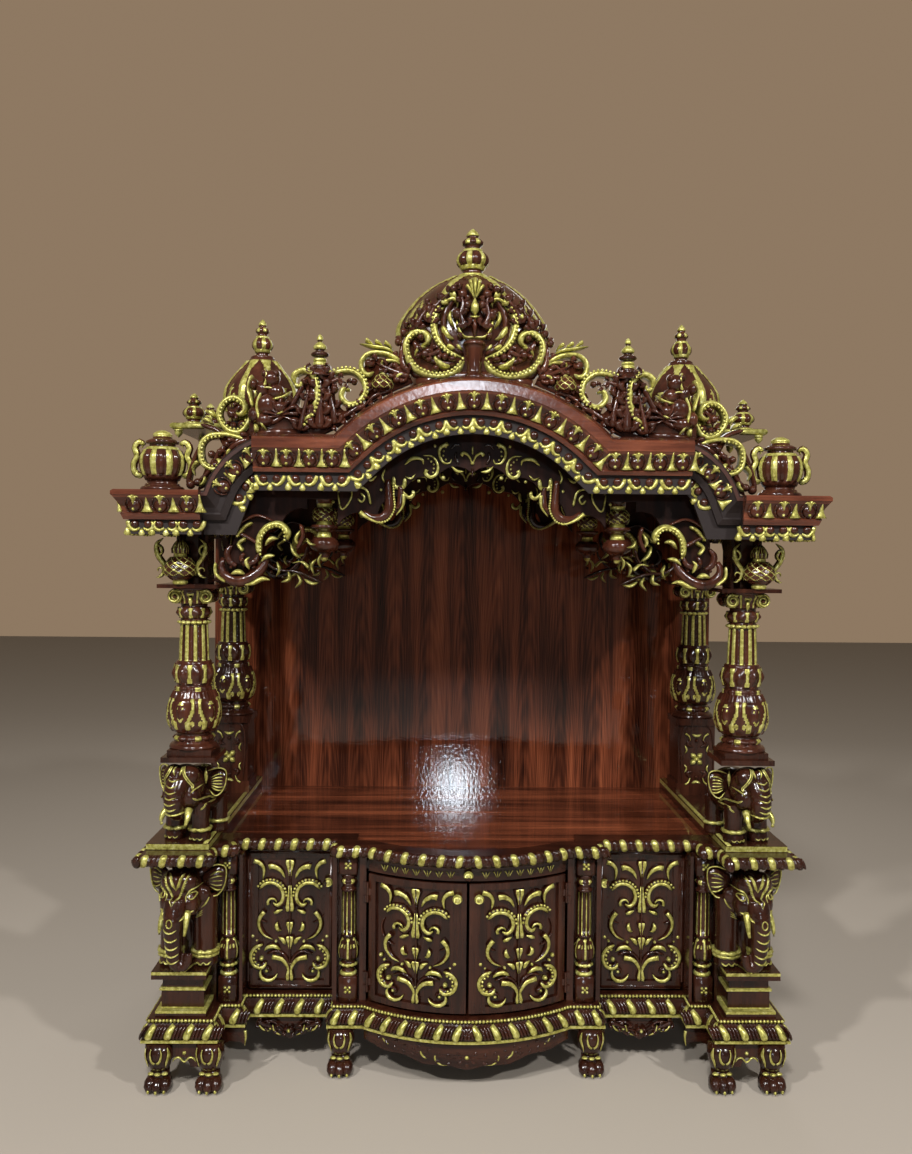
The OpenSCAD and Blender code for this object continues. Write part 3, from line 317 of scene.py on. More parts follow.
def setCamera():
    # turned by yaw, then pitch, then roll
    yaw, pitch, roll = (math.radians(view[k]) for k in ("yaw", "pitch", "roll"))
    turnZ = Matrix(((math.cos(yaw), math.sin(yaw), 0), (-math.sin(yaw), math.cos(yaw), 0), (0, 0, 1)))
    turnX = Matrix(((1, 0, 0), (0, math.cos(pitch), math.sin(pitch)), (0, -math.sin(pitch), math.cos(pitch))))
    turnY = Matrix(((math.cos(roll), 0, math.sin(roll)), (0, 1, 0), (-math.sin(roll), 0, math.cos(roll))))
    right, ahead, up = turnY @ turnX @ turnZ
    lens = bpy.data.cameras.new("viewer")
    lens.lens, lens.sensor_width = view["lens"], 36
    camera = bpy.data.objects.new("viewer", lens)
    bpy.context.scene.collection.objects.link(camera)
    camera.matrix_world = Matrix.Translation(Vector(view["place"]) * mm + Vector((0, frontY, 0))) \
        @ Matrix((right, up, -ahead)).transposed().to_4x4()
    bpy.context.scene.camera = camera


def addLamp(name, place, aim, size, watts, tint):
    light = bpy.data.lights.new(name, "AREA")
    light.shape, light.size, light.energy, light.color = "DISK", size, watts, tint
    lamp = bpy.data.objects.new(name, light)
    bpy.context.scene.collection.objects.link(lamp)
    lamp.location = place
    lamp.rotation_euler = (Vector(aim) - Vector(place)).to_track_quat("-Z", "Y").to_euler()


studio = {"glow": 0.17, "tint": (1.0, 0.88, 0.74), "floor": (0.46, 0.405, 0.34), "wall": (0.27, 0.190, 0.122),
          "lamps": {"keyLeft": ((-2.0, -2.9, 3.1), 0.22, 88), "keyRight": ((2.2, -2.7, 2.9), 0.20, 70),
                    "overhead": ((-0.3, -2.7, 3.0), 0.4, 66), "rimBack": ((0.5, 2.6, 2.0), 1.4, 12),
                    "front": ((0.14, -9.0, 2.60), 0.42, 74)},
          "cool": {"front": (0.80, 0.90, 1.0)}}


def setStage():
    scene = bpy.context.scene
    scene.view_settings.view_transform = "Standard"
    world = bpy.data.worlds.new("studio")
    scene.world = world
    world.use_nodes = True
    world.node_tree.nodes.clear()
    graph = Graph(world.node_tree)
    glow = graph.node("ShaderNodeBackground", {}, {"Color": (*studio["tint"], 1), "Strength": studio["glow"]})
    graph.node("ShaderNodeOutputWorld", {}, {"Surface": glow})
    bpy.ops.mesh.primitive_plane_add(size=14, location=(0, 2, 0))
    floor = bpy.context.object
    floor.name = "studioFloor"
    paint = bpy.data.materials.new("floorPaint")
    paint.use_nodes = True
    base = paint.node_tree.nodes["Principled BSDF"]
    base.inputs["Base Color"].default_value = (*studio["floor"], 1)
    base.inputs["Roughness"].default_value = 0.6
    floor.data.materials.append(paint)
    bpy.ops.mesh.primitive_plane_add(size=34, location=(0, 8.9, 0), rotation=(math.pi / 2, 0, 0))
    wall = bpy.context.object
    wall.name = "studioWall"
    tint = bpy.data.materials.new("wallTint")
    tint.use_nodes = True
    tint.node_tree.nodes.clear()
    graph = Graph(tint.node_tree)
    seen = graph.node("ShaderNodeLightPath", {}, {}, "Is Camera Ray")
    rays = graph.last
    for ray in ("Is Glossy Ray", "Is Transmission Ray"):
        seen = seen + Wire(graph, rays.outputs[ray])
    pale = graph.node("ShaderNodeEmission", {}, {"Color": (*studio["wall"], 1), "Strength": seen})
    graph.node("ShaderNodeOutputMaterial", {}, {"Surface": pale})
    wall.data.materials.append(tint)
    for name, (place, size, watts) in studio["lamps"].items():
        addLamp(name, place, (0, -0.1, 0.85), size, watts, studio["cool"].get(name, (1, 1, 1)))


setCamera()
setStage()
print("camera, lamps and floor set")


def smooth(points, n):
    # even run of n points on a rounded line through a few points
    p = np.array(points, float)
    if len(p) < 3:
        return np.array([p[0] + (p[-1] - p[0]) * t for t in np.linspace(0, 1, n)])
    q = np.vstack([2 * p[0] - p[1], p, 2 * p[-1] - p[-2]])
    fine = []
    for i in range(1, len(q) - 2):
        a, b, c, d = q[i - 1:i + 3]
        for t in np.linspace(0, 1, 12, endpoint=False):
            fine.append(0.5 * (2 * b + (c - a) * t + (2 * a - 5 * b + 4 * c - d) * t ** 2
                               + (3 * b - a - 3 * c + d) * t ** 3))
    fine = np.array(fine + [p[-1]])
    along = np.concatenate([[0], np.cumsum(np.linalg.norm(np.diff(fine, axis=0), axis=1))])
    spots = np.linspace(0, along[-1], n)
    return np.stack([np.interp(spots, along, fine[:, k]) for k in range(p.shape[1])], 1)


def unit(ways):
    return ways / np.maximum(np.linalg.norm(ways, axis=1), 1e-9)[:, None]


def curl(cx, cy, r0, r1, a0, a1, n):
    # winding line of n points whose radius goes from r0 to r1, angles in degrees
    t = np.linspace(0, 1, n)
    a = np.radians(a0 + (a1 - a0) * t)
    r = r0 + (r1 - r0) * t ** 0.8
    return np.stack([cx + r * np.cos(a), cy + r * np.sin(a)], 1)


def swell(n):  # thin, full, thin
    tip, peak, t = 0.12, 0.45, np.linspace(0, 1, n)
    phase = np.where(t < peak, 0.5 * t / peak, 0.5 + 0.5 * (t - peak) / (1 - peak))
    return tip + (1 - tip) * np.sin(np.pi * np.clip(phase, 0, 1)) ** 0.8


def tail(n):  # full at the start, thin at the end
    tip, t = 0.15, np.linspace(0, 1, n)
    return tip + (1 - tip) * (1 - t) ** 0.7


def head(n):  # thin at the start, full at the end
    return tail(n)[::-1]


def even(n):  # full, with rounded ends
    t = np.linspace(0, 1, n)
    return np.minimum(1, 0.35 + np.minimum(t, 1 - t) * 8)


# section of a stroke: place across, height, gold
sections = {
    "ridge": [(-1, -0.2, 0), (-0.86, 0.45, 0), (-0.5, 0.92, 1), (0, 1, 1), (0.5, 0.92, 1), (0.86, 0.45, 0),
              (1, -0.2, 0)],
    "groove": [(-1, -0.2, 0), (-0.85, 0.6, 0.2), (-0.5, 1, 1), (0, 0.5, 0.3), (0.5, 1, 1), (0.85, 0.6, 0.2),
               (1, -0.2, 0)],
    "bare": [(-1, -0.2, 0), (-0.8, 0.5, 0), (-0.35, 0.95, 0), (0.35, 0.95, 0), (0.8, 0.5, 0), (1, -0.2, 0)],
    "gold": [(-1, -0.2, 1), (-0.8, 0.55, 1), (-0.3, 1, 1), (0.3, 1, 1), (0.8, 0.55, 1), (1, -0.2, 1)]}


def flat(y):  # drawing on a face that looks to the front
    return lambda u, v, h: np.stack([u, y - h, v], -1)


def bowed(radius, centreY):  # on the bow: u runs along the curve
    return lambda u, v, h: np.stack([(radius + h) * np.sin(u / radius),
                                     centreY - (radius + h) * np.cos(u / radius), v], -1)


def sideways(x, sign):  # on a face that looks to the side; u is y
    return lambda u, v, h: np.stack([sign * (x + h), u, v], -1)


def framed(origin, across, up, out):  # on any flat face
    o, a, b, c = (np.array(q, float) for q in (origin, across, up, out))
    return lambda u, v, h: o + u[..., None] * a + v[..., None] * b + h[..., None] * c


class Carving:
    # gathers strokes, balls and turned work into one mesh with a gilt value at every point
    def __init__(self):
        self.points, self.faces, self.gilt, self.count = [], [], [], 0

    def add(self, points, faces, gilt):
        points = np.asarray(points, float).reshape(-1, 3)
        self.points.append(points)
        self.gilt.append(np.broadcast_to(np.asarray(gilt, float).reshape(-1), (len(points),)))
        self.faces += [tuple(i + self.count for i in f) for f in faces]
        self.count += len(points)

    def skin(self, rings, gilt):
        # closed skin over rings of points, shape (rings, points, 3)
        n, m = rings.shape[:2]
        faces = [(i * m + j, i * m + (j + 1) % m, (i + 1) * m + (j + 1) % m, (i + 1) * m + j)
                 for i in range(n - 1) for j in range(m)]
        faces += [tuple(range(m - 1, -1, -1)), tuple((n - 1) * m + j for j in range(m))]
        self.add(rings, faces, np.broadcast_to(gilt, (n, m)))

    def stroke(self, path, width, height, where, section, taper=None):
        # a raised stroke along a line on a face; the taper scales it from start to end
        path = np.asarray(path, float)
        n = len(path)
        taper = np.ones(n) if taper is None else taper(n) if callable(taper) else taper
        taper = np.interp(np.linspace(0, 1, n), np.linspace(0, 1, len(taper)), taper)
        way = unit(np.gradient(path, axis=0))
        across = np.stack([way[:, 1], -way[:, 0]], 1)
        shape = np.array(sections[section])
        half = (width / 2 * taper)[:, None]
        u = path[:, :1] + across[:, :1] * half * shape[:, 0]
        v = path[:, 1:2] + across[:, 1:2] * half * shape[:, 0]
        h = (height * np.minimum(1, taper + 0.15))[:, None] * shape[:, 1]
        self.skin(where(u, v, h), shape[:, 2])

    def cord(self, path, radius, gilt, sides, squash=None):
        # round bar along a line in space
        path = np.asarray(path, float)
        n = len(path)
        radius = np.broadcast_to(np.asarray(radius, float), (n,))
        way = unit(np.gradient(path, axis=0))
        a = unit(np.cross(way, (0.13, 0.31, 0.94)))
        b = np.cross(way, a)
        turn = np.linspace(0, 2 * np.pi, sides, endpoint=False)
        rings = path[:, None] + radius[:, None, None] * (np.cos(turn)[None, :, None] * a[:, None]
                                                         + np.sin(turn)[None, :, None] * b[:, None])
        if squash is not None:
            rings = path[:, None] + (rings - path[:, None]) * np.array(squash)
        self.skin(rings, gilt)

    def ball(self, centre, radii, gilt, steps, rows):
        radii = np.broadcast_to(np.asarray(radii, float), (3,))
        ring = np.linspace(0, 2 * np.pi, steps, endpoint=False)
        lift = np.linspace(-np.pi / 2, np.pi / 2, rows + 1)
        lift[0] += 0.12
        lift[-1] -= 0.12
        rings = np.stack([np.stack([np.cos(a) * np.cos(ring), np.cos(a) * np.sin(ring),
                                    np.full(steps, np.sin(a))], 1) for a in lift])
        self.skin(np.asarray(centre, float) + rings * radii, gilt)

    def stud(self, u, v, r, h, where, gilt=1.0, steps=8):
        # half ball on a face
        ring = np.linspace(0, 2 * np.pi, steps, endpoint=False)
        rows = []
        for a in (-0.3, 0.25, 0.8, 1.35):
            c, s = math.cos(a) * r, math.sin(a) * h
            rows.append(where(u + c * np.cos(ring), v + c * np.sin(ring), np.full(steps, s)))
        self.skin(np.stack(rows), gilt)

    def turned(self, centre, parts, steps, up=1, tilt=None):
        # lathe work: parts are (height, radii, pattern, rings)
        angle = np.linspace(0, 2 * np.pi, steps, endpoint=False)
        rings, gilts, z = [], [], 0.0
        for height, radii, pattern, count in parts:
            for i in range(count + 1):
                t = i / count
                r = np.interp(t, np.linspace(0, 1, len(radii)), radii)
                cut, gold = pattern(angle, t)
                radius = np.maximum(r + cut + np.zeros(steps), 0.3)
                rings.append(np.stack([radius * np.cos(angle), radius * np.sin(angle),
                                       np.full(steps, up * (z + height * t))], 1))
                gilts.append(gold + np.zeros(steps))
            z += height
        rings = np.array(rings)
        if tilt is not None:
            rings = rings @ np.array(tilt).T
        self.skin(rings + np.array(centre, float), np.array(gilts))

    def mirrored(self):
        # the same work again on the other side
        points, gilt, faces, count = list(self.points), list(self.gilt), list(self.faces), self.count
        for p, g in zip(points, gilt):
            self.points.append(p * (-1, 1, 1))
            self.gilt.append(g)
        self.faces += [tuple(i + count for i in reversed(f)) for f in faces]
        self.count = 2 * count
        return self

    def build(self, name, body="cabinet", ride=True):
        mesh = bpy.data.meshes.new(name)
        points = np.concatenate(self.points) * mm + (0, frontY if ride else 0, 0)
        mesh.from_pydata(points.tolist(), [], self.faces)
        layer = mesh.attributes.new("gilt", "FLOAT", "POINT")
        layer.data.foreach_set("value", np.concatenate(self.gilt).astype(np.float32))
        shell = bmesh.new()
        shell.from_mesh(mesh)
        bmesh.ops.recalc_face_normals(shell, faces=shell.faces)
        shell.to_mesh(mesh)
        shell.free()
        mesh.polygons.foreach_set("use_smooth", [True] * len(mesh.polygons))
        mesh.materials.append(finishOf(name))
        made = bpy.data.objects.new(name, mesh)
        bpy.context.scene.collection.objects.link(made)
        if ride:
            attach(made, body)
        return made


# patterns round turned work: cut depth and gold over angle and height


def wood(a, t):
    return 0.0, 0.0


def gilt(a, t):
    return 0.0, 1.0


def flutes(n, depth, wide):  # n rounded channels; gold on the fillets between them
    def cut(a, t):
        wave = 0.5 - 0.5 * np.cos(n * a)
        return -depth * wave ** 0.8, np.where(wave < wide, 1.0, 0.0)
    return cut


def lobes(n, depth, every=2):  # n round swellings, some of them gold
    def cut(a, t):
        cell = (a * n / (2 * np.pi)) % n
        bulge = np.abs(np.sin(np.pi * cell)) ** 0.7
        picked = (np.floor(cell) % every == 0) & (bulge > 0.45)
        return depth * (bulge - 1), np.where(picked, 1.0, 0.0)
    return cut


def beads(n, depth):  # a ring of gold beads
    def cut(a, t):
        u = ((a * n / (2 * np.pi)) % 1) * 2 - 1
        v = 2 * t - 1
        dome = np.sqrt(np.maximum(0, 1 - u * u - v * v))
        return depth * dome, np.where(dome > 0.3, 1.0, 0.0)
    return cut


def leaves(n, depth, rim):  # n pointed leaves with a gold rim and vein
    def cut(a, t):
        u = ((a * n / (2 * np.pi)) % 1) * 2 - 1
        wide = 0.98 * (1 - t ** 2.2) ** 0.6 + 0.02
        inside = np.clip(1 - np.abs(u) / wide, 0, 1)
        raised = np.minimum(1, inside * 3.5)
        vein = np.abs(u) < 0.13
        edge = (inside > 0) & (inside < rim)
        return depth * raised - depth * 0.35 * vein, np.where(vein | edge, 1.0, 0.0)
    return cut


def net(n, rows, depth):  # a raised gold lattice
    def cut(a, t):
        k = a * n / (2 * np.pi)
        one = np.abs((k + rows * t) % 1 - 0.5) * 2
        two = np.abs((k - rows * t) % 1 - 0.5) * 2
        lattice = np.maximum(one, two)
        crossing = lattice > 0.83
        return np.where(crossing, depth, depth * 0.2 * (1 - lattice)), np.where(crossing, 1.0, 0.0)
    return cut


def runTree():
    # cells of about one pitch on every guide line, a copy of the piece in the middle of each
    tree = bpy.data.node_groups.new("runOfPieces", "GeometryNodeTree")
    sockets = {}
    for name, kind in (("Guides", "NodeSocketGeometry"), ("Piece", "NodeSocketObject"), ("Pitch", "NodeSocketFloat"),
                       ("Lean", "NodeSocketFloat"), ("Wobble", "NodeSocketFloat"), ("Seed", "NodeSocketInt"),
                       ("Finish", "NodeSocketMaterial")):
        sockets[name] = tree.interface.new_socket(name, in_out="INPUT", socket_type=kind).identifier
    tree.interface.new_socket("Geometry", in_out="OUTPUT", socket_type="NodeSocketGeometry")
    graph = Graph(tree)
    graph.node("NodeGroupInput")
    given = {name: Wire(graph, graph.last.outputs[name]) for name in sockets}
    curve = graph.node("GeometryNodeMeshToCurve", {}, {"Mesh": given["Guides"]})
    length = graph.node("GeometryNodeSplineLength")
    cells = graph.sum("MAXIMUM", graph.sum("ROUND", length / given["Pitch"]), 1.0)
    fine = graph.node("GeometryNodeResampleCurve", {}, {"Curve": curve, "Count": cells * 2 + 1})
    graph.node("GeometryNodeSplineParameter")
    index = Wire(graph, graph.last.outputs["Index"])
    middle = graph.sum("MODULO", index, 2.0)
    out = graph.node("GeometryNodeInputNamedAttribute", {"data_type": "FLOAT_VECTOR"}, {"Name": "out"})
    way = graph.node("GeometryNodeInputTangent")
    facing = graph.node("FunctionNodeAxesToRotation", {"primary_axis": "Z", "secondary_axis": "X"},
                        {"Primary Axis": out, "Secondary Axis": way})
    chance = graph.node("FunctionNodeRandomValue", {"data_type": "FLOAT"}, {2: -1.0, 3: 1.0, "Seed": given["Seed"]},
                        out=1)
    lean = graph.node("ShaderNodeCombineXYZ", {}, {"Z": given["Lean"] + chance * given["Wobble"]})
    turned = graph.node("FunctionNodeRotateRotation", {"rotation_space": "LOCAL"},
                        {"Rotation": facing, "Rotate By": lean})
    piece = graph.node("GeometryNodeObjectInfo", {"transform_space": "ORIGINAL"}, {"Object": given["Piece"]}, out=4)
    placed = graph.node("GeometryNodeInstanceOnPoints", {}, {"Points": fine, "Selection": middle, "Instance": piece,
                                                             "Rotation": turned})
    real = graph.node("GeometryNodeRealizeInstances", {}, {0: placed})
    painted = graph.node("GeometryNodeSetMaterial", {}, {"Geometry": real, "Material": given["Finish"]})
    graph.node("NodeGroupOutput", {}, {0: painted})
    return tree, sockets


runNodes, runSockets = runTree()


def runOf(name, piece, lines, pitch, body="cabinet", lean=0.0, wobble=0.0, seed=1):
    # lines are (points, outs) in millimetres; the piece's own z looks out and its y up
    points, edges, outs = [], [], []
    for line, out in lines:
        line = np.asarray(line, float)
        edges += [(len(points) + i, len(points) + i + 1) for i in range(len(line) - 1)]
        points += (line * mm + (0, frontY, 0)).tolist()
        outs += np.broadcast_to(np.asarray(out, float), (len(line), 3)).tolist()
    mesh = bpy.data.meshes.new(name + "Guides")
    mesh.from_pydata(points, edges, [])
    mesh.attributes.new("out", "FLOAT_VECTOR", "POINT").data.foreach_set("vector", np.array(outs).ravel())
    guide = bpy.data.objects.new(name + "Guides", mesh)
    bpy.context.scene.collection.objects.link(guide)
    nodesOn = guide.modifiers.new("run", "NODES")
    nodesOn.node_group = runNodes
    for key, value in (("Piece", piece), ("Pitch", pitch * mm), ("Lean", math.radians(lean)),
                       ("Wobble", math.radians(wobble)), ("Seed", seed), ("Finish", finishOf(name))):
        nodesOn[runSockets[key]] = value
    bpy.context.view_layer.update()
    shaped = guide.evaluated_get(bpy.context.evaluated_depsgraph_get())
    result = bpy.data.meshes.new_from_object(shaped)
    result.name = name
    made = bpy.data.objects.new(name, result)
    bpy.context.scene.collection.objects.link(made)
    bpy.data.objects.remove(guide)
    bpy.data.objects.remove(piece)
    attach(made, body)
    return made


def pattern(carving, name):  # a piece for a run, drawn about its own origin
    made = carving.build(name, ride=False)
    made.hide_render = True
    return made


base = {"halfW": 578, "cornerIn": 442, "cornerY": 0, "stepIn": 405, "stepY": 61, "bayY": 104, "midOut": 256,
        "midY": 58, "bowX": 192, "bowR": 328, "depth": 610}
slab = {"halfW": 589, "cornerIn": 455, "cornerY": -6, "stepIn": 426, "stepY": 57, "bayY": 102, "midOut": 250,
        "midY": 56, "bowX": 190, "bowR": 334, "depth": 610}


def bowCentre(plan):
    return plan["midY"] + math.sqrt(plan["bowR"] ** 2 - plan["bowX"] ** 2)


def lengthOf(line):
    return np.linalg.norm(np.diff(line, axis=0), axis=1).sum()


def growLine(line, by):  # the line moved outwards, to the right of its way
    line = np.asarray(line, float)
    way = unit(np.diff(line, axis=0))
    side = np.stack([way[:, 1], -way[:, 0]], 1)
    a, b = np.vstack([side[:1], side]), np.vstack([side, side[-1:]])
    return line + by * (a + b) / (1 + (a * b).sum(1))[:, None]


def frontLine(plan, by):  # right half of the front in plan, from the middle to the back corner
    p, centre, span = plan, bowCentre(plan), math.asin(plan["bowX"] / plan["bowR"])
    bow = [(p["bowR"] * math.sin(span * t), centre - p["bowR"] * math.cos(span * t)) for t in np.linspace(0, 1, 13)]
    line = bow + [(p["midOut"], p["midY"]), (p["midOut"], p["bayY"]), (p["stepIn"], p["bayY"]),
                  (p["stepIn"], p["stepY"]), (p["cornerIn"], p["stepY"]), (p["cornerIn"], p["cornerY"]),
                  (p["halfW"], p["cornerY"]), (p["halfW"], p["depth"])]
    grown = growLine(line, by)
    grown[0, 0] = 0
    return grown


def cutRuns(line):  # straight or gently bent stretches of a line, each with its outward directions
    line = np.asarray(line, float)
    way = unit(np.diff(line, axis=0))
    corner = math.cos(math.radians(20))
    starts = [0] + [i for i in range(1, len(way)) if way[i] @ way[i - 1] < corner] + [len(way)]
    runs = []
    for a, b in zip(starts[:-1], starts[1:]):
        part = way[a:b]
        side = np.stack([part[:, 1], -part[:, 0]], 1)
        outs = (np.vstack([side[:1], side]) + np.vstack([side, side[-1:]])) / 2
        runs.append((line[a:b + 1], outs))
    return runs


def planRuns(plan, by, z, sides=(1, -1), least=20):
    # guide lines round the base; the left half runs towards the middle
    runs = []
    for points, outs in cutRuns(frontLine(plan, by)):
        if lengthOf(points) < least:
            continue
        for sign in sides:
            p = np.column_stack([points * (sign, 1), np.full(len(points), z)])[::sign]
            o = np.column_stack([outs * (sign, 1), np.zeros(len(points))])[::sign]
            runs.append((p, o))
    return runs


canopy = {"halfEave": 610, "cornerX": 459, "arcX": 374, "archX": 237, "eave": 1065, "arcTop": 1155, "shoulder": 1161,
          "archRise": 100, "arcR": 145, "front": -66, "arcIn": 20, "depth": 610, "corner": 151, "centreDrop": 17,
          "least": 15}


def arcBetween(a, b, r, n):  # bulging to the left of the way from a to b
    a, b = np.array(a, float), np.array(b, float)
    way = (b - a) / np.linalg.norm(b - a)
    centre = (a + b) / 2 + math.sqrt(r * r - ((b - a) ** 2).sum() / 4) * np.array([way[1], -way[0]])
    a0, a1 = math.atan2(*(a - centre)[::-1]), math.atan2(*(b - centre)[::-1])
    a1 -= 2 * math.pi * round((a1 - a0) / (2 * math.pi))
    return np.array([centre + r * np.array([math.cos(t), math.sin(t)]) for t in np.linspace(a0, a1, n + 1)])


archR = (canopy["archX"] ** 2 + canopy["archRise"] ** 2) / (2 * canopy["archRise"])
archMid = canopy["shoulder"] + canopy["archRise"] - archR


def archLine(n=24):
    span = math.asin(canopy["archX"] / archR)
    return np.array([(archR * math.sin(t), archMid + archR * math.cos(t)) for t in np.linspace(-span, span, n + 1)])


def canopyRuns(drop, forward):
    # guide lines along the cornice, a given drop below its top line and this far behind its foremost edge
    c = canopy
    y, z = c["front"] + forward, c["eave"] - drop
    sideEnds = c["front"] + c["corner"], c["depth"] - c["corner"]
    runs = []

    def upright(line, extra, place, outward):
        for points, _ in cutRuns(growLine(line, drop + extra)):
            if lengthOf(points) >= c["least"]:
                runs.append((place(points), outward))

    def front(y):
        return lambda p: np.column_stack([p[:, 0], np.full(len(p), y), p[:, 1]])
    centre = np.vstack([[(-c["arcX"], c["shoulder"])], archLine(), [(c["arcX"], c["shoulder"])]])
    upright(centre, c["centreDrop"], front(y), (0, -1, 0))
    arc = arcBetween((c["arcX"], c["arcTop"]), (c["cornerX"], c["eave"]), c["arcR"], 10)
    for sign in (1, -1):
        upright(arc if sign > 0 else (arc * (-1, 1))[::-1], 0, front(y + c["arcIn"]), (0, -1, 0))
        x0, x1 = c["cornerX"] + 2, c["halfEave"] - forward
        runs.append((np.array([(x0 * sign, y, z), (x1 * sign, y, z)])[::sign], (0, -1, 0)))
        for y0, y1 in ((y, sideEnds[0]), (sideEnds[1], c["depth"])):
            runs.append((np.array([(x1 * sign, y0, z), (x1 * sign, y1, z)])[::sign], (sign, 0, 0)))
        x = x1 - c["arcIn"]

        def beside(p):
            return np.column_stack([np.full(len(p), x * sign), p[:, 0], p[:, 1]])[::sign]
        upright(np.array([(at, c["eave"]) for at in sideEnds]), 0, beside, (sign, 0, 0))
    return runs


local = framed((0, 0, 0), (1, 0, 0), (0, 1, 0), (0, 0, 1))  # a piece for a run looks along its own z
rope = {"pitch": 32, "lean": 24, "wobble": 3, "by": -2, "z": 415}


def ropeLobe(sign):
    # a gold and a brown strand of the rope; the run leans the whole piece, so the places lean back here
    turn = math.radians(-rope["lean"] * sign)
    work = Carving()
    for x, z, size, tint in ((0, -4, (8.5, 12.6, 8.5), 1.0), (16, -4, (8.5, 12.2, 8.5), 0.0),
                             (8, -5, (3.4, 11.2, 7.2), 0.0), (24, -5, (3.4, 11.2, 7.2), 0.0)):
        work.ball((x * math.cos(turn), x * math.sin(turn), z), size, tint, 12, 8)
    for k in (-4.5, 0, 4.5):
        work.ball((16 * math.cos(turn) + 0.3 * k, 16 * math.sin(turn) + k * 1.1, 3.4 - abs(k) * 0.25), 2.3, 0.0, 6, 4)
    return pattern(work, "ropeLobe")


for name, sign, seed in (("ropeRight", 1, 1), ("ropeLeft", -1, 2)):
    runOf(name, ropeLobe(sign), planRuns(slab, rope["by"], rope["z"], (sign,)), rope["pitch"],
          lean=rope["lean"] * sign, wobble=rope["wobble"], seed=seed)


def gadroon(sign):
    # a gold tongue and three brown flutes that lean back with the cove
    def cove(u, v, h):
        return np.stack([u, v, h + 0.5 - 12.5 * (np.clip(v, 0, 27) / 27) ** 2], -1)
    work = Carving()
    work.stroke(smooth([(-4.5 * sign, 2), (-3 * sign, 9), (1 * sign, 17), (6 * sign, 25)], 9), 14.5, 5.2, cove,
                "gold", np.array([0.6, 0.95, 1.0, 0.97, 0.92, 0.86, 0.78, 0.7, 0.58]))
    for k in range(3):
        x = 9.5 + 6.2 * k if sign > 0 else -9.5 - 6.2 * k
        work.stroke(smooth([(x - 3 * sign, 2), (x - 1 * sign, 11), (x + 5 * sign, 25)], 7), 6.2, 3.2, cove, "bare",
                    even)
    return pattern(work, "gadroon")


def beadPiece(r):
    work = Carving()
    work.ball((0, 0, 0), r, 1.0, 6, 4)
    return pattern(work, "bead")


gadroons = {"by": -0.5, "z": 95, "pitch": 35, "least": 30}
beadRow = {"by": -9.5, "z": 127, "pitch": 6.6, "r": 3.3}
for name, sign in (("gadroonsRight", 1), ("gadroonsLeft", -1)):
    runOf(name, gadroon(-sign), planRuns(base, gadroons["by"], gadroons["z"], (sign,), gadroons["least"]),
          gadroons["pitch"])
runOf("footBeads", beadPiece(beadRow["r"]), planRuns(base, beadRow["by"], beadRow["z"]), beadRow["pitch"])
print("rope, gadroons and bead row")


def leaning(low, high, rise):  # a face that leans forward towards its top
    return lambda u, v, h: np.stack([u, v, h + rise * np.clip((v - low) / (high - low), 0, 1) ** 1.5], -1)


def rosette():
    work = Carving()
    lean = leaning(-14, 15, 11)
    work.ball((0, -2, 2), (12, 12.5, 8), 0.0, 12, 7)
    for a in (165, 15, -150, -30):
        work.stroke(curl(0, -1.5, 14, 14.5, a - 32, a + 32, 7), 3.6, 5, lean, "bare", swell)
    work.stroke([(0, 14), (0, 8), (0, 1), (0, -5)], 6.5, 8.5, lean, "gold", np.array([1, 0.9, 0.75, 0.5]))
    for s in (1, -1):
        work.stroke(smooth([(0, 6), (5 * s, 11.5), (10 * s, 10)], 6), 6.5, 6.5, lean, "gold", tail)
    work.ball((0, -9.5, 8.2), 2.8, 1.0, 8, 5)
    # dart beside it: wide foot, thin tip
    n = 8
    dart = np.array([1.0, 0.72, 0.5, 0.36, 0.27, 0.2, 0.16, 0.14])
    work.stroke(np.column_stack([np.full(n, 21.7), np.linspace(-14, 15.5, n)]), 23, 6.5, lean, "gold", dart)
    return pattern(work, "rosette")


leafBand = {"drop": 24, "forward": 14.5, "pitch": 43.5}
fringe = {"drop": 55.5, "forward": 25.5, "pitch": 48.6}
runOf("leafBand", rosette(), canopyRuns(leafBand["drop"], leafBand["forward"]), leafBand["pitch"])


def scallop():
    work = Carving()
    for s in (1, -1):
        work.stroke(smooth([(24.3 * s, 3), (22 * s, -4), (16.5 * s, -11), (10 * s, -13), (3 * s, -9)], 9), 8.5, 5,
                    local, "gold", np.array([0.75, 0.95, 1, 1, 0.95, 0.85, 0.7, 0.6, 0.5]))
        work.ball((11.5 * s, -2.5, 2.0), (7.4, 7.4, 5.5), 0.0, 10, 6)
    for x, y, grow in ((0, -10, 1.0), (-24.3, -8, 1.12)):
        work.stroke([(x, y), (x, y - 4), (x, y - 9 * grow), (x, y - 12.5 * grow)], 13 * grow, 5, local, "gold",
                    np.array([0.22, 0.6, 1.0, 0.62]))
    return pattern(work, "scallop")


runOf("fringe", scallop(), canopyRuns(fringe["drop"], fringe["forward"]), fringe["pitch"])
print("leaf band and fringe")

door = {"halfDrawn": 66, "tallDrawn": 226, "gilt": (1.5, 1.25), "bare": (1.0, 1.25), "bead": 5.6,
        "fan": np.array([0.3, 0.45, 0.7, 0.95, 0.85])}
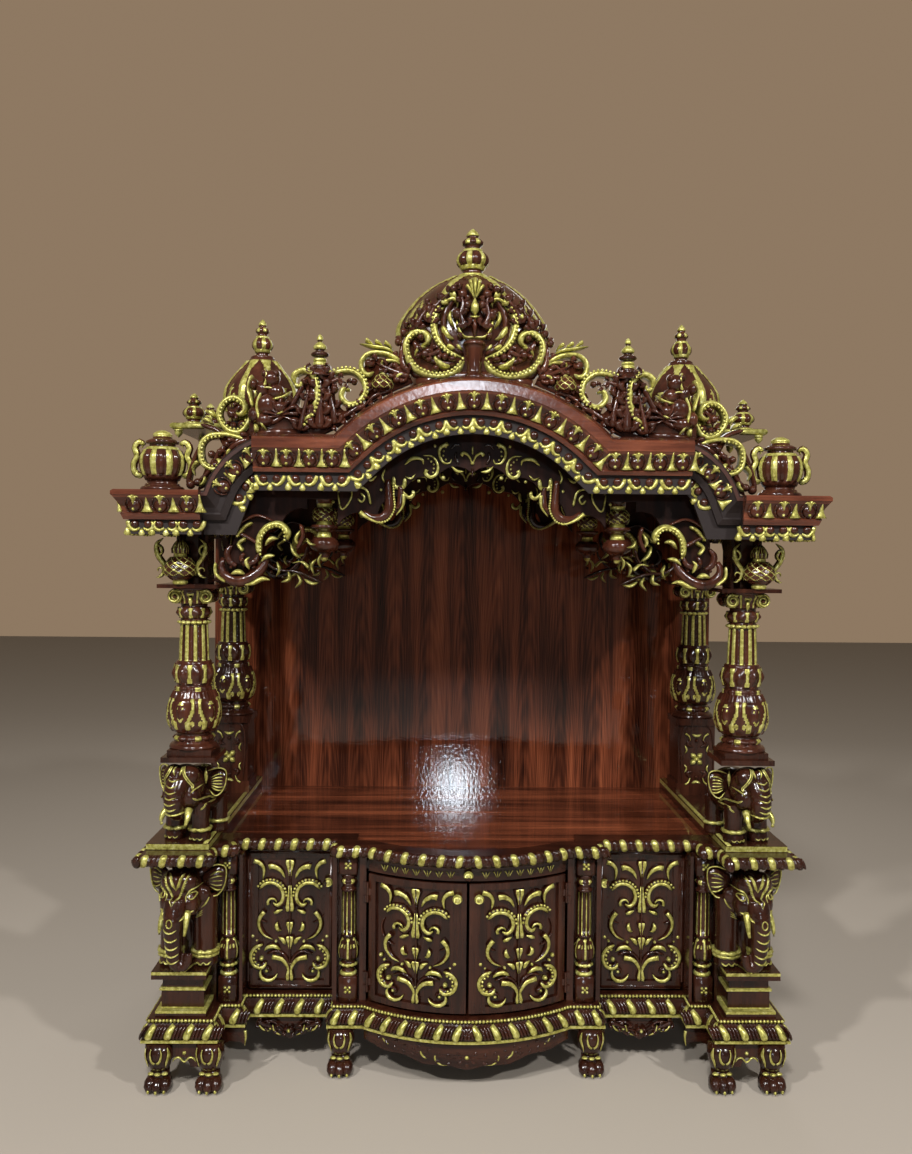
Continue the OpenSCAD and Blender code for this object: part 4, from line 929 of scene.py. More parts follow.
# buds up the stem: width, and heights along it
doorStem = [(15, 80, 89, 95, 104, 110), (15, 62, 50, 36, 22, 15), (12, -28, -21.1, -16.5, -9.6, -5),
            (13, -56, -48.8, -44, -36.8, -32), (13, -82, -91.3, -97.5, -106.8, -113)]
upperScroll = smooth([(54, 57), (44, 68), (28, 70), (14, 60), (9, 44), (13, 30), (22, 24), (30, 28)], 20)
lowerScroll = smooth([(46, -49), (58, -54), (65, -68), (60, -84), (48, -88), (42, -80)], 16)
leafArc = smooth([(44, 14), (52, 2), (53, -14), (44, -30), (30, -38)], 12)
doorStrokes = [  # right half: width, height, section, taper, line
    (8.5, 6, "ridge", tail, smooth([(62, 108), (52, 104), (45, 92), (47, 74)], 9)),
    (10, 6.5, "ridge", head, smooth([(9, 76), (16, 90), (28, 98), (36, 97)], 9)),
    (13, 5, "bare", even, upperScroll),
    (6, 6.6, "ridge", even, growLine(upperScroll, -2.2)),
    (5.5, 6.5, "ridge", head, curl(31, 31, 8, 7, 200, -30, 7)),
    (6.5, 5.5, "ridge", np.array([0.3, 1, 0.6]), [(13, 17), (21, 14), (27, 11)]),
    (7, 6, "ridge", swell, smooth([(21, -6), (23, -12), (20, -20), (15, -22)], 6)),
    (12, 4, "bare", swell, leafArc),
    (7.5, 7, "ridge", tail, leafArc),
    (7, 5, "ridge", swell, smooth([(8, -48), (12, -38), (20, -34)], 6)),
    (12, 5, "bare", even, lowerScroll),
    (6, 6.6, "ridge", even, growLine(lowerScroll, -2)),
    (7.5, 6.5, "ridge", swell, smooth([(16, -58), (26, -50), (38, -52), (44, -60)], 8)),
    (9, 6.5, "ridge", head, smooth([(1, -106), (4, -88), (14, -74), (30, -70)], 10)),
    (6, 3.2, "bare", even, smooth([(0, -98), (6, -72), (22, -60), (40, -66)], 10)),
    (6.5, 6, "ridge", swell, curl(38, -99, 17, 12, -170, 40, 12)),
    (4.5, 5, "bare", None, curl(38, -99, 12, 3, 40, 190, 6)),
    (4, 2.2, "bare", even, curl(32, 20, 34, 28, 40, -75, 10))]
doorStuds = [(64, -32, 4.2, 5), (57, -40, 2.6, 5), (24, -42, 2.8, 5), (49, -74, 4.5, 7), (40, -97, 3.6, 6)]
doorBeads = [growLine(upperScroll[:14], 3.2), growLine(lowerScroll[1:13], 3)]


def doorScrolls(work, where, half, low, high, beadsAt):
    # stem of buds in the middle, then one half mirrored; scale follows the panel
    wide, tall, middle = half / door["halfDrawn"], (high - low) / door["tallDrawn"], (high + low) / 2

    def at(points, s=1):
        return np.asarray(points, float) * (s * wide, tall) + (0, middle)

    def cut(line, width, height, section, taper):
        broader, higher = door["bare" if section == "bare" else "gilt"]
        work.stroke(line, width * broader, height * higher, where, section, taper)
    for width, *heights in doorStem:
        cut(at([(0, v) for v in heights]), width, 6, "groove", door["fan"])
    cut(at([(0, -113), (0, -60), (0, 0), (0, 60), (0, 100)]), 5, 3.4, "bare", None)
    for s in (1, -1):
        for width, height, section, taper, line in doorStrokes:
            cut(at(line, s), width, height, section, taper)
        for u, v, r, h in doorStuds:
            work.stud(*at([(u, v)], s)[0], r, h, where)
        beadsAt += [(at(line, s), where, door["bead"]) for line in doorBeads]


def beadRuns(beadsAt):
    # turns drawn lines into guide lines in space
    runs = []
    for path, where, height in beadsAt:
        p = np.asarray(path, float)
        low = where(p[:, 0], p[:, 1], np.full(len(p), float(height)))
        high = where(p[:, 0], p[:, 1], np.full(len(p), height + 1.0))
        runs.append((low, high - low))
    return runs


def panelFrame(work, where, x0, x1, z0, z1, width, height):
    for a, b in (((x0, z0), (x1, z0)), ((x1, z0), (x1, z1)), ((x1, z1), (x0, z1)), ((x0, z1), (x0, z0))):
        work.stroke([a, ((a[0] + b[0]) / 2, (a[1] + b[1]) / 2), b], width, height, where, "bare")


doors = {"sideDoor": {"cad": "side_door_", "middle": 333, "half": 72, "low": 152, "high": 384,
                      "frame": (256, 410, 140, 395), "face": flat(128)},
         "bowDoor": {"cad": "bow_door_", "middle": 94, "half": 73, "low": 150, "high": 360, "frame": None,
                     "face": bowed(303, bowCentre(base))}}
for side, sign in (("right", 1), ("left", -1)):
    for name, d in doors.items():
        panel, strings = Carving(), []
        doorScrolls(panel, lambda u, v, h: d["face"](u + sign * d["middle"], v, h), d["half"], d["low"], d["high"],
                    strings)
        if d["frame"]:
            x0, x1, z0, z1 = d["frame"]
            panelFrame(panel, d["face"], sign * x0, sign * x1, z0, z1, 9, 4)
        panel.build(name + "Carving_" + side, d["cad"] + side)
        runOf(name + "Beads_" + side, beadPiece(2.8), beadRuns(strings), 7.0, d["cad"] + side)
print("door carving")

pillar = {"front": (504, 84), "rear": (509, 465), "foot": 603, "steps": 120}


def lyres(n, depth):
    # thin mirrored scrolls on every panel of a bulb, with a lobed boss between panels
    def cut(a, t):
        turn = (a * n / (2 * np.pi)) % 1
        off = np.abs(turn - 0.5)
        path = 0.05 + 0.20 * max(0.0, 1 - t) ** 0.7 + 0.05 * np.sin(8 * t)
        line = (np.abs(off - path) < 0.054 + 0.03 * (t < 0.3)) & (t > 0.08) & (t < 0.84)
        drop = ((off - 0.12) / 0.05) ** 2 + ((t - 0.24) / 0.08) ** 2 < 1
        boss = np.exp(-(((0.5 - off) / 0.13) ** 2 + ((t - 0.52) / 0.26) ** 2) * 1.4)
        rim = (boss > 0.28) & (boss < 0.52) & (np.sin(t * 26) > -0.7)
        scroll, collar = np.exp(-((off - path) / 0.06) ** 2), np.abs(np.sin(turn * 25)) * (t > 0.8)
        return depth * (0.9 * boss + 0.7 * scroll + 0.25 * collar), np.where(line | drop | rim, 1.0, 0.0)
    return cut


def crossed(n, depth):
    # round bosses with an hourglass leaf of gold between them
    def cut(a, t):
        turn = (a * n / (2 * np.pi)) % 1
        off = np.minimum(turn, 1 - turn)
        leaf = off < 0.10 + 0.55 * (t - 0.5) ** 2
        boss = np.exp(-(((0.5 - off) / 0.24) ** 2 + ((t - 0.5) / 0.36) ** 2))
        return depth * np.maximum(boss, 0.65 * leaf), np.where(leaf & (t > 0.04) & (t < 0.96), 1.0, 0.0)
    return cut


def beadedFlutes(n, depth, wide):
    # narrow gold fillets with a string of plain beads in each flute
    def cut(a, t):
        turn = (a * n / (2 * np.pi)) % 1
        off = np.minimum(turn, 1 - turn)
        fillet = off < wide / 2
        bead = 0.55 * np.abs(np.sin(t * np.pi * 7)) * np.exp(-((off - 0.5) / 0.16) ** 2)
        return depth * (np.where(fillet, 1.0, bead) - 1.0), np.where(fillet, 1.0, 0.0)
    return cut


def volute(work, x, y, z, turn):
    # scroll of a capital seen from the front and back, with its bolster between
    for side in (1, -1):
        face = (lambda u, v, h: np.stack([x + u, np.full_like(h, y) - side * (30 + h), z + v], -1))
        work.stroke(curl(0, 0, 12.5, 3, 90, 90 - turn * 560, 26), 5.5, 5, face, "ridge",
                    np.linspace(1, 0.6, 26))
        work.stud(0, 0, 4.5, 6, face, 0.0)
    work.turned((x, y - 31, z), [(5, (12, 13), gilt, 1), (26, (12, 10, 9), wood, 4), (26, (9, 10, 12), wood, 4),
                                 (5, (13, 12), gilt, 1)], 20, tilt=((1, 0, 0), (0, 0, 1), (0, -1, 0)))


pillarParts = [
    (8, (44, 44, 41), wood, 3), (6, (38, 34), wood, 2), (9, (35, 39, 35), lobes(14, 3.5, every=3), 5),
    (7, (31, 30, 33), wood, 2), (75, (36, 43, 46, 46.5, 46, 44, 40, 35), "bulb", 40),
    (7, (34, 35, 34), lobes(14, 3.0, every=3), 4), (6, (31, 30, 32), wood, 2), (36, (31, 34, 35, 34, 31), "ring", 13),
    (5, (31, 32, 30), wood, 2), (66, (27.5, 26.5, 25), "shaft", 22),
    (8, (25, 27, 25), beads(16, 4), 6), (3, (24, 24), wood, 1), (20, (24, 29, 27), "cap", 9),
    (7, (24, 23, 25), wood, 3), (24, (25, 25, 29, 35), leaves(8, 5, rim=0.25), 8), (5, (37, 39), wood, 2)]
pillarPatterns = {"bulb": lyres(5, 5.0), "ring": crossed(8, 5.5), "shaft": beadedFlutes(10, 4.0, 0.36),
                  "cap": crossed(8, 4.5)}


def onePillar(work, x, y):
    parts = [(height, radii, pillarPatterns.get(cut, cut) if isinstance(cut, str) else cut, rings)
             for height, radii, cut, rings in pillarParts]
    work.turned((x, y, pillar["foot"]), parts, pillar["steps"])
    top = pillar["foot"] + 292
    for turn in (1, -1):
        volute(work, x + turn * 28, y, top - 16, turn)
    for side in (1, -1):
        face = (lambda u, v, h: np.stack([x + u, y - side * (27 + h), v], -1))
        work.stroke(smooth([(-34, top - 4), (-16, top - 7), (0, top - 12), (16, top - 7), (34, top - 4)], 13), 6, 5,
                    face, "ridge", even)
        work.stroke([(0, top - 34), (0, top - 26), (0, top - 17)], 10, 6, face, "ridge", np.array([0.2, 1, 0.8]))


for which, nodeName in (("front", "front_pillars"), ("rear", "rear_pillars")):
    work = Carving()
    onePillar(work, *pillar[which])
    made = work.mirrored().build(which + "PillarCarving")
    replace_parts(made, nodeName)

colonette = {"places": (219, 440), "y": 89, "half": 17, "steps": 36}


def block(work, x, y, z0, z1, half):
    # chamfered square block
    rows, chamfer = [], 2.5
    for z, inset in ((z0, chamfer), (z0 + chamfer, 0), (z1 - chamfer, 0), (z1, chamfer)):
        a, b = half - inset, half - inset - chamfer
        corners = ((a, -b), (a, b), (b, a), (-b, a), (-a, b), (-a, -b), (-b, -a), (b, -a))
        rows.append([(x + p, y + q, z) for p, q in corners])
    work.skin(np.array(rows, float), 0.0)


def flower(work, where, u, v):
    # a stud with four petals at its corners
    work.stud(u, v, 2.6, 3, where)
    for a in np.radians(range(45, 405, 90)):
        work.stud(u + 5.5 * math.cos(a), v + 5.5 * math.sin(a), 2.9, 3.2, where)


work = Carving()
for x in colonette["places"]:
    y, half = colonette["y"], colonette["half"]
    work.turned((x, y, 181), [
        (6, (16, 16, 14), gilt, 2), (9, (11, 10, 12), wood, 3), (8, (13, 15, 13), beads(10, 3), 5),
        (8, (11, 12, 14), wood, 3), (38, (15, 17, 17, 14, 11), leaves(6, 3.2, rim=0.22), 12),
        (6, (12, 14, 12), wood, 3), (80, (12.8, 13.2, 13, 12.2), flutes(9, 2.8, wide=0.30), 4),
        (6, (13, 15, 13), wood, 3), (9, (11, 10, 13), wood, 3), (8, (13, 16, 13), lobes(10, 2.5), 5),
        (9, (12, 15), wood, 2)], colonette["steps"])
    block(work, x, y, 131, 181, half)
    block(work, x, y, 368, 404, half)
    front = flat(y - half)
    flower(work, front, x, 386)
    flower(work, front, x, 156)
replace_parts(work.mirrored().build("colonetteCarving"), "colonettes")


def finialParts(height, radius):
    # drawn 92 high on a radius of 30, and scaled to fit
    h, p = height / 92, radius / 30

    def r(*radii):
        return [q * p for q in radii]
    return [(6 * h, r(26, 29, 26), gilt, 3), (9 * h, r(20, 17, 18), wood, 3), (7 * h, r(20, 24), gilt, 2),
            (26 * h, r(25, 30, 30.5, 28, 22), lobes(12, 4 * p), 9), (5 * h, r(19, 18), gilt, 2),
            (9 * h, r(14, 13, 17), wood, 3), (10 * h, r(19, 20, 15), lobes(10, 2.5 * p), 4),
            (6 * h, r(11, 10), wood, 2), (14 * h, r(12, 11, 7, 2), gilt, 5)]


def goldRibs(n, r, height, wide, offset, broad=1.0):
    # gold ribs of one width from the drum to the crown, with a sprig on each panel between them;
    # the ribs at the two sides can be broader, and then stand twice as high
    def cut(a, t):
        turn = (a * n / (2 * np.pi) + offset) % 1
        reach = r * math.sqrt(max(0.04, 1 - t * t)) * np.minimum(turn, 1 - turn) * 2 * np.pi / n
        beside = (np.abs(np.cos(a)) > 0.8) & (broad > 1)
        rib = np.exp(-(reach / np.where(beside, broad * wide, wide)) ** 4)
        panel = np.exp(-((((turn - 0.5) * 7) ** 2 + ((t - 0.34) * 6) ** 2)) * 1.6)
        off = np.abs(turn - 0.5)
        bow = 0.15 * np.sin(np.pi * np.clip((t - 0.10) / 0.46, 0, 1))
        bud = 0.05 * np.sin(np.pi * np.clip((t - 0.2) / 0.3, 0, 1))
        sprig = (t > 0.10) & (t < 0.56) & ((np.abs(off - bow) < 0.022) | (off < bud))
        return height * rib * np.where(beside, 2.0, 1.0) + 3 * panel, np.where((rib > 0.35) | sprig, 1.0, 0.0)
    return cut


dome = {"y": 110, "z": 1262, "finialZ": 1467, "sideX": 378, "sideY": 64, "sideZ": 1170, "sideFinialZ": 1306}
work = Carving()
work.turned((0, dome["y"], dome["z"]), [
    (22, (112, 114, 110), wood, 3), (50, (109, 109), leaves(14, 4, rim=0.2), 8), (8, (112, 120, 126), gilt, 3),
    (8, (128, 129, 128), gilt, 3), (118, (129, 131, 131, 128, 123, 116, 109, 101, 92, 81, 68, 51, 30),
                                    goldRibs(6, 131, 5, 8.0, 0, 3.0), 40)], 180)
work.turned((0, dome["y"], dome["finialZ"]), finialParts(92, 30.5), 48)
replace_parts(work.build("centralDomeCarving"), "central_dome")
work = Carving()
work.turned((dome["sideX"], dome["sideY"], dome["sideZ"]), [
    (22, (54, 54, 56), wood, 3), (8, (58, 60, 58), gilt, 3),
    (102, (56, 64, 66, 66.5, 64, 57, 47, 36, 26), goldRibs(8, 66, 4, 4.6, 0.5), 30), (5, (25, 22), wood, 2),
    (5, (19, 21, 18), wood, 2)], 96)
work.turned((dome["sideX"], dome["sideY"], dome["sideFinialZ"]), finialParts(72, 19), 32)
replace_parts(work.mirrored().build("sideDomeCarving"), "side_domes")

urn = {"x": 537, "ys": (-10, 550), "z": 1065}
work = Carving()
for y in urn["ys"]:
    x, z = urn["x"], urn["z"]
    work.turned((x, y, z), [
        (7, (37, 38, 35), wood, 3), (5, (31, 29), wood, 2), (6, (25, 27), wood, 2), (8, (29, 33), wood, 2),
        (44, (34, 38.5, 40, 39, 33), lobes(16, 4.5), 14), (5, (29, 27), gilt, 2), (6, (22, 22), wood, 2),
        (8, (27, 28, 21), wood, 4), (4, (17, 16), wood, 1), (11, (15, 17, 14, 6), gilt, 5)], 64)
    side = flat(y)
    for s in (1, -1):
        def handle(points):
            return np.asarray(points, float) * (s, 1) + (x, z)
        for turn in (1, -1):
            face = (lambda u, v, h: np.stack([u, y - turn * h, v], -1))
            work.stroke(handle(smooth([(34, 26), (46, 30), (49, 46), (43, 60), (47, 74), (40, 84), (30, 80)], 18)),
                        12, 7, face, "ridge", even)
            for end in (curl(38, 28, 8, 3, 60, -220, 10), curl(38, 76, 8, 3, -60, 230, 10)):
                work.stroke(handle(end), 5.5, 5, face, "ridge", tail)
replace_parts(work.mirrored().build("urnCarving"), "urns")

finial = {"front": (263, -37, 1286), "x": 533, "ys": (202, 342), "z": 1205}
work = Carving()
work.turned(finial["front"], [
    (5, (10, 12, 10), gilt, 3), (3, (8, 8), wood, 1), (9, (12, 16, 15, 9), wood, 4), (3, (7, 7), wood, 1),
    (13, (9, 12, 11, 7, 4), gilt, 5), (3, (4, 4), wood, 1), (10, (5.5, 5, 1.5), gilt, 4)], 28)
for y in finial["ys"]:
    work.turned((finial["x"], y, finial["z"]), finialParts(60, 22), 40)
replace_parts(work.mirrored().build("finialCarving"), "finials")

work = Carving()
shelf = {"x": 566, "inX": 470, "y0": 170, "y1": 374, "z": 1199, "underZ": 1192}
rim = [(shelf["inX"], shelf["y0"]), (shelf["x"], shelf["y0"]), (shelf["x"], shelf["y1"]), (shelf["inX"], shelf["y1"])]
work.cord([(x, y, shelf["z"]) for x, y in rim], 6.4, 1.0, 10, squash=(1, 1, 0.9))
for y in (shelf["y0"] + 4, shelf["y1"] - 4):
    work.turned((shelf["x"] - 10, y, shelf["underZ"]), [(3, (9, 8), gilt, 1), (12, (7, 8, 5, 1), gilt, 5)], 16, up=-1)
work.mirrored().build("shelfEdge")

pendant = {"x": 263, "ys": (43, 417), "z": 945}
work = Carving()
for y in pendant["ys"]:
    work.turned((pendant["x"], y, pendant["z"]), [
        (7, (3, 6, 7), gilt, 3), (9, (9, 7, 12), wood, 3), (27, (15, 24, 26.5, 25, 18), wood, 12),
        (9, (13, 11), gilt, 2), (7, (13, 16, 20), wood, 2), (6, (23, 24, 23), wood, 2), (6, (15, 12), gilt, 2),
        (25, (16, 20, 20, 14), net(9, 3, 2.4), 14), (7, (13, 14), gilt, 2), (47, (15, 15), wood, 2)], 48)
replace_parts(work.mirrored().build("pendantCarving"), "pendants")

pineapple = {"x": 518, "y": 36, "z": 902, "scrollY": 44, "reach": 30}
work = Carving()
work.turned((pineapple["x"], pineapple["y"], pineapple["z"]), [
    (7, (12, 14, 12), gilt, 3), (8, (14, 20, 23), wood, 3), (34, (24.5, 27, 26, 22, 15), net(9, 3, 2.6), 20),
    (6, (12, 11), gilt, 2), (24, (12, 13, 9, 3), leaves(6, 3, rim=0.35), 9)], 60)
for s in (1, -1):
    cx = pineapple["x"] + s * pineapple["reach"]
    for turn in (1, -1):
        face = (lambda u, v, h: np.stack([u, pineapple["scrollY"] - turn * h, v], -1))
        path = smooth([(cx + 2 * s, 984), (cx + 14 * s, 972), (cx + 10 * s, 952), (cx - 1 * s, 934),
                       (cx + 5 * s, 916), (cx + 14 * s, 914)], 18)
        work.stroke(path, 11, 7, face, "ridge", swell)
        work.stroke(curl(cx + 12 * s, 960, 12, 3, 90, 90 + s * 330, 14), 6, 7, face, "ridge", tail)
        work.stroke(curl(cx + 8 * s, 926, 10, 3, -90, -90 - s * 300, 12), 6, 6, face, "ridge", tail)
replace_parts(work.mirrored().build("pineappleCarving"), "pineapples")
print("turned work")


def marks(work, where, rows, sides=(1,)):
    # rows are (width, height, section, taper, points...)
    for width, height, section, taper, *points in rows:
        for s in sides:
            line = np.array(points, float) * (s, 1)
            n = int(lengthOf(line) / max(3.0, width * 0.32)) + 4
            work.stroke(smooth(line, n), width, height, where, section, taper)


def beadsOn(work, where, points, r, gap, off, high):
    line = growLine(smooth(points, 40), off)
    n = max(2, int(lengthOf(line) / gap))
    for u, v in smooth(line[::3], n):
        x = where(np.array([u]), np.array([v]), np.array([high]))[0]
        work.ball(x, r, 1.0, 6, 4)


def leafy(work, where, points, size, n, high, gold=()):
    # acanthus: a rib with round fingers on both sides; gold lists the fingers that are painted
    line = smooth(points, n)
    work.stroke(smooth(points, 2 * n), size * 1.1, high * 0.9, where, "bare", tail)
    way = unit(np.gradient(line, axis=0))
    for i, (p, w) in enumerate(zip(line, way)):
        reach = size * (1.15 - 0.45 * i / n)
        for s in (1, -1):
            side = np.array([w[1], -w[0]]) * s
            tip = p + side * reach * 0.8 + w * reach * 0.75
            finish = "gold" if (i, s) in gold else "bare"
            work.stroke(smooth([p + w * 2, p + side * reach * 0.55 + w * reach * 0.2, tip], 6), size,
                        high * 1.15, where, finish, head)


def sprays(work, where, rows, sides=(1,)):
    # rows are (size, number of fingers, height, points...)
    for size, n, high, *points in rows:
        for s in sides:
            leafy(work, where, np.array(points, float) * (s, 1), size, n, high)


def lumps(work, y, deep, rows, steps=(10, 6), sides=(1,)):
    # rounded lumps between the leaves: rows are (x, z, radius across, radius up)
    for x, z, rx, rz in rows:
        for s in sides:
            work.ball((x * s, y, z), (rx, deep, rz), 0.0, *steps)


def fretBoard(work, outline, front, back):
    # a thin board cut to an outline, with a softened front edge
    line = np.array(outline, float)
    if np.sum(line[:, 0] * np.roll(line[:, 1], -1) - np.roll(line[:, 0], -1) * line[:, 1]) < 0:
        line = line[::-1]
    middle = line.mean(0)
    inner = middle + (line - middle) * 0.955
    rings = [np.column_stack([q[:, 0], np.full(len(q), y), q[:, 1]])
             for q, y in ((line, back), (line, front + 4), (inner, front))]
    work.skin(np.array(rings), 0.0)


def plank(work, y, rows, sides=(1, -1), deep=16):
    # open work that is as thick as its board, gold along the face
    marks(work, flat(y + deep), [(w, deep + h, *rest) for w, h, *rest in rows], sides)


crest = {"front": -46, "side": -26}
work = Carving()
front = flat(crest["front"])
bigScroll = [(17, 1290), (31, 1273), (52, 1264), (76, 1265), (100, 1276), (114, 1296), (117, 1317), (107, 1334),
             (93, 1339), (80, 1331), (81, 1319), (90, 1317)]
innerScroll = [(46, 1384), (59, 1376), (68, 1362), (69, 1344), (62, 1324), (48, 1308), (31, 1300), (18, 1296)]
plank(work, crest["front"], [
    (15, 3, "gold", even, *bigScroll), (14, 4, "gold", swell, *innerScroll),
    (15, 4, "gold", swell, (71, 1303), (63, 1289), (50, 1281), (36, 1284)),
    (10, 3, "gold", swell, (82, 1314), (95, 1309), (102, 1296)),
    (13, 5, "gold", swell, (56, 1352), (51, 1340), (44, 1330), (34, 1327)),
    (9, 5, "gold", swell, (41, 1376), (42, 1360), (33, 1345)),
    (6, 5, "gold", even, (31, 1358), (27, 1343), (17, 1330), (0, 1329)),
    (9, 5, "gold", swell, (30, 1380), (29, 1389), (38, 1394), (48, 1389), (51, 1379)),
    (11, 4, "gold", swell, (48, 1318), (40, 1313), (31, 1308)),
    (8, 4, "gold", swell, (30, 1319), (25, 1311), (19, 1308)),
    (14, 0, "bare", even, (18, 1300), (46, 1322), (52, 1362), (34, 1400)),
    (14, 0, "bare", even, (30, 1284), (66, 1288), (94, 1304), (104, 1326))])
for s in (1, -1):
    for line in (bigScroll[:9], innerScroll[1:7]):
        beadsOn(work, front, np.array(line) * (s, 1), 2.9, 6.4, -3.6 * s, high=4.0)
    for x, z, rise in ((14, 1416, 9), (8, 1424, 10)):
        work.stroke(smooth([(1.5 * s, 1395), (x * 0.6 * s, 1408), (x * s, z)], 7), 7, rise, front, "gold", head)
    leafy(work, front, np.array([(76, 1352), (74, 1368), (60, 1388), (44, 1402)]) * (s, 1), 12, 4, 8,
          ((2, -s), (3, -s)))
    leafy(work, front, np.array([(100, 1344), (92, 1360), (78, 1380)]) * (s, 1), 12, 3, 8, ((1, -s),))
lumps(work, crest["front"] + 4, 12, [
    (21, 1402, 9, 9), (36, 1410, 7, 8), (13, 1384, 7, 9), (30, 1368, 8, 10), (20, 1350, 6, 9), (24, 1332, 6, 7),
    (58, 1396, 8, 8), (78, 1376, 8, 9), (96, 1352, 8, 8), (84, 1300, 8, 8), (66, 1276, 7, 6), (92, 1328, 6, 6),
    (120, 1336, 7, 7), (130, 1320, 6, 7), (38, 1292, 8, 6), (50, 1296, 7, 7)], (12, 8), (1, -1))
sprays(work, front, [(12, 4, 8, (14, 1346), (24, 1362), (20, 1388), (30, 1408)),
                     (11, 3, 7, (58, 1306), (76, 1298), (90, 1302))], (1, -1))
sprays(work, flat(crest["front"] + 8), [(13, 4, 10, (116, 1270), (124, 1290), (122, 1318), (112, 1342))], (1, -1))
work.stroke([(0, 1396), (0, 1412), (0, 1427)], 9, 11, front, "gold", head)
work.stroke([(0, 1365), (0, 1374), (0, 1383), (0, 1395)], 16, 9, front, "gold", swell)
work.stroke([(-8, 1364), (0, 1362), (8, 1364)], 5, 9, front, "gold", even)
work.stroke([(0, 1332), (0, 1348), (0, 1362)], 10, 7, front, "bare", even)
work.turned((0, crest["front"] + 6, 1258), [(8, (18, 19, 16), wood, 3), (50, (14, 12.5, 13, 15, 18), wood, 8),
                                            (7, (19, 20, 17), wood, 3)], 28)
half = [(0, 1256), (60, 1256), (104, 1262), (122, 1284), (124, 1316), (112, 1338), (96, 1358), (76, 1382),
        (52, 1402), (28, 1420), (0, 1430)]
fretBoard(work, half + [(-x, z) for x, z in half[-2:0:-1]], crest["front"] + 10, crest["front"] + 24)
work.stroke(growLine(archLine(16), -4)[5:12], 22, 12, flat(crest["front"] + 14), "bare")
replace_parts(work.build("crestCentreCarving"), "crest_centre")

work = Carving()
nearScroll = [(243, 1264), (226, 1270), (207, 1270), (190, 1257), (185, 1236), (196, 1219), (213, 1214), (226, 1226),
              (222, 1240), (211, 1239)]
tallScroll = [(306, 1247), (306, 1263), (289, 1271), (273, 1260), (267, 1236), (270, 1213), (280, 1193), (291, 1181)]
roundScroll = [
    (379, 1206), (387, 1184), (400, 1168), (419, 1169), (434, 1184), (438, 1202), (427, 1220), (411, 1226),
    (397, 1218), (394, 1204), (404, 1197), (411, 1204)]
lowScroll = [(388, 1152), (411, 1160), (436, 1163), (457, 1158), (469, 1142), (467, 1117), (455, 1105), (440, 1104),
             (436, 1116), (446, 1122)]
leaf = [(125, 1285), (138, 1296), (159, 1302), (180, 1300), (192, 1287), (190, 1270), (180, 1264), (171, 1270)]
y = crest["front"]
plank(work, y, [
    (12, 3, "gold", even, *nearScroll), (13, 3, "gold", even, *tallScroll),
    (9, 2, "gold", even, (306, 1247), (296, 1243), (293, 1252)), (11, 3, "gold", even, *leaf),
    (9, 3, "gold", swell, (121, 1281), (138, 1288), (157, 1286), (152, 1273)),
    (8, 3, "gold", swell, (132, 1300), (150, 1309), (170, 1312), (196, 1318)),
    (9, 4, "gold", head, (140, 1306), (144, 1314), (152, 1320)),
    (9, 4, "gold", head, (154, 1310), (160, 1317), (168, 1322)),
    (9, 4, "gold", head, (168, 1312), (176, 1318), (184, 1324)),
    (9, 3, "gold", swell, (116, 1266), (130, 1263), (131, 1250)),
    (9, 0, "bare", even, (108, 1260), (140, 1262), (176, 1246), (196, 1230)),
    (10, 0, "bare", even, (243, 1262), (252, 1246), (254, 1200), (256, 1176)),
    (10, 0, "bare", even, (190, 1236), (176, 1240), (160, 1262), (134, 1288)),
    (12, 0, "bare", even, (290, 1250), (302, 1225), (322, 1196), (348, 1178))], (1,))
face = flat(y)
for line, off in ((nearScroll[:7], 4.2), (tallScroll[2:], 4.6)):
    beadsOn(work, face, line, 2.7, 6.4, off, high=2.5)
fretBoard(work, [
    (104, 1252), (150, 1232), (196, 1202), (236, 1172), (262, 1160), (300, 1160), (296, 1196), (284, 1226),
    (294, 1256), (276, 1272), (250, 1272), (240, 1244), (236, 1214), (222, 1202), (200, 1202), (184, 1214),
    (178, 1240), (190, 1264), (184, 1290), (160, 1294), (134, 1288), (114, 1274)], y + 8, y + 18)
fretBoard(work, [(288, 1160), (384, 1160), (384, 1200), (374, 1226), (356, 1240), (330, 1240), (306, 1222),
                 (290, 1196)], y + 8, y + 18)
sprays(work, flat(y + 6), [
    (19, 5, 12, (262, 1172), (262, 1200), (262, 1232), (262, 1264)),
    (15, 4, 10, (236, 1180), (240, 1204), (246, 1232), (250, 1256)),
    (13, 4, 10, (296, 1168), (290, 1196), (284, 1222), (282, 1246)),
    (12, 4, 9, (186, 1212), (208, 1202), (238, 1180)), (13, 4, 9, (112, 1262), (140, 1272), (168, 1286)),
    (11, 4, 8, (140, 1240), (170, 1228), (190, 1208)), (10, 3, 8, (244, 1250), (232, 1256), (218, 1250))])
work.turned((156, y + 2, 1236), [(4, (6, 12), wood, 2), (24, (15, 17, 16, 12, 7), net(7, 2, 2.2), 14),
                                 (4, (6, 2), gilt, 2)], 42)
lumps(work, y + 6, 11, [(178, 1246, 7, 7), (132, 1256, 7, 7), (180, 1284, 7, 7), (204, 1252, 6, 6)])
work.turned((263, y + 10, 1262), [(10, (22, 19, 14), lobes(8, 3, every=9), 4), (8, (11, 12), wood, 2),
                                  (5, (11, 13, 11), gilt, 3)], 32)
for s in (1, -1):
    work.stroke(curl(265 + s * 13, 1272, 9, 3, 90, 90 - s * 330, 12), 5, 9, flat(y + 2), "bare", tail)
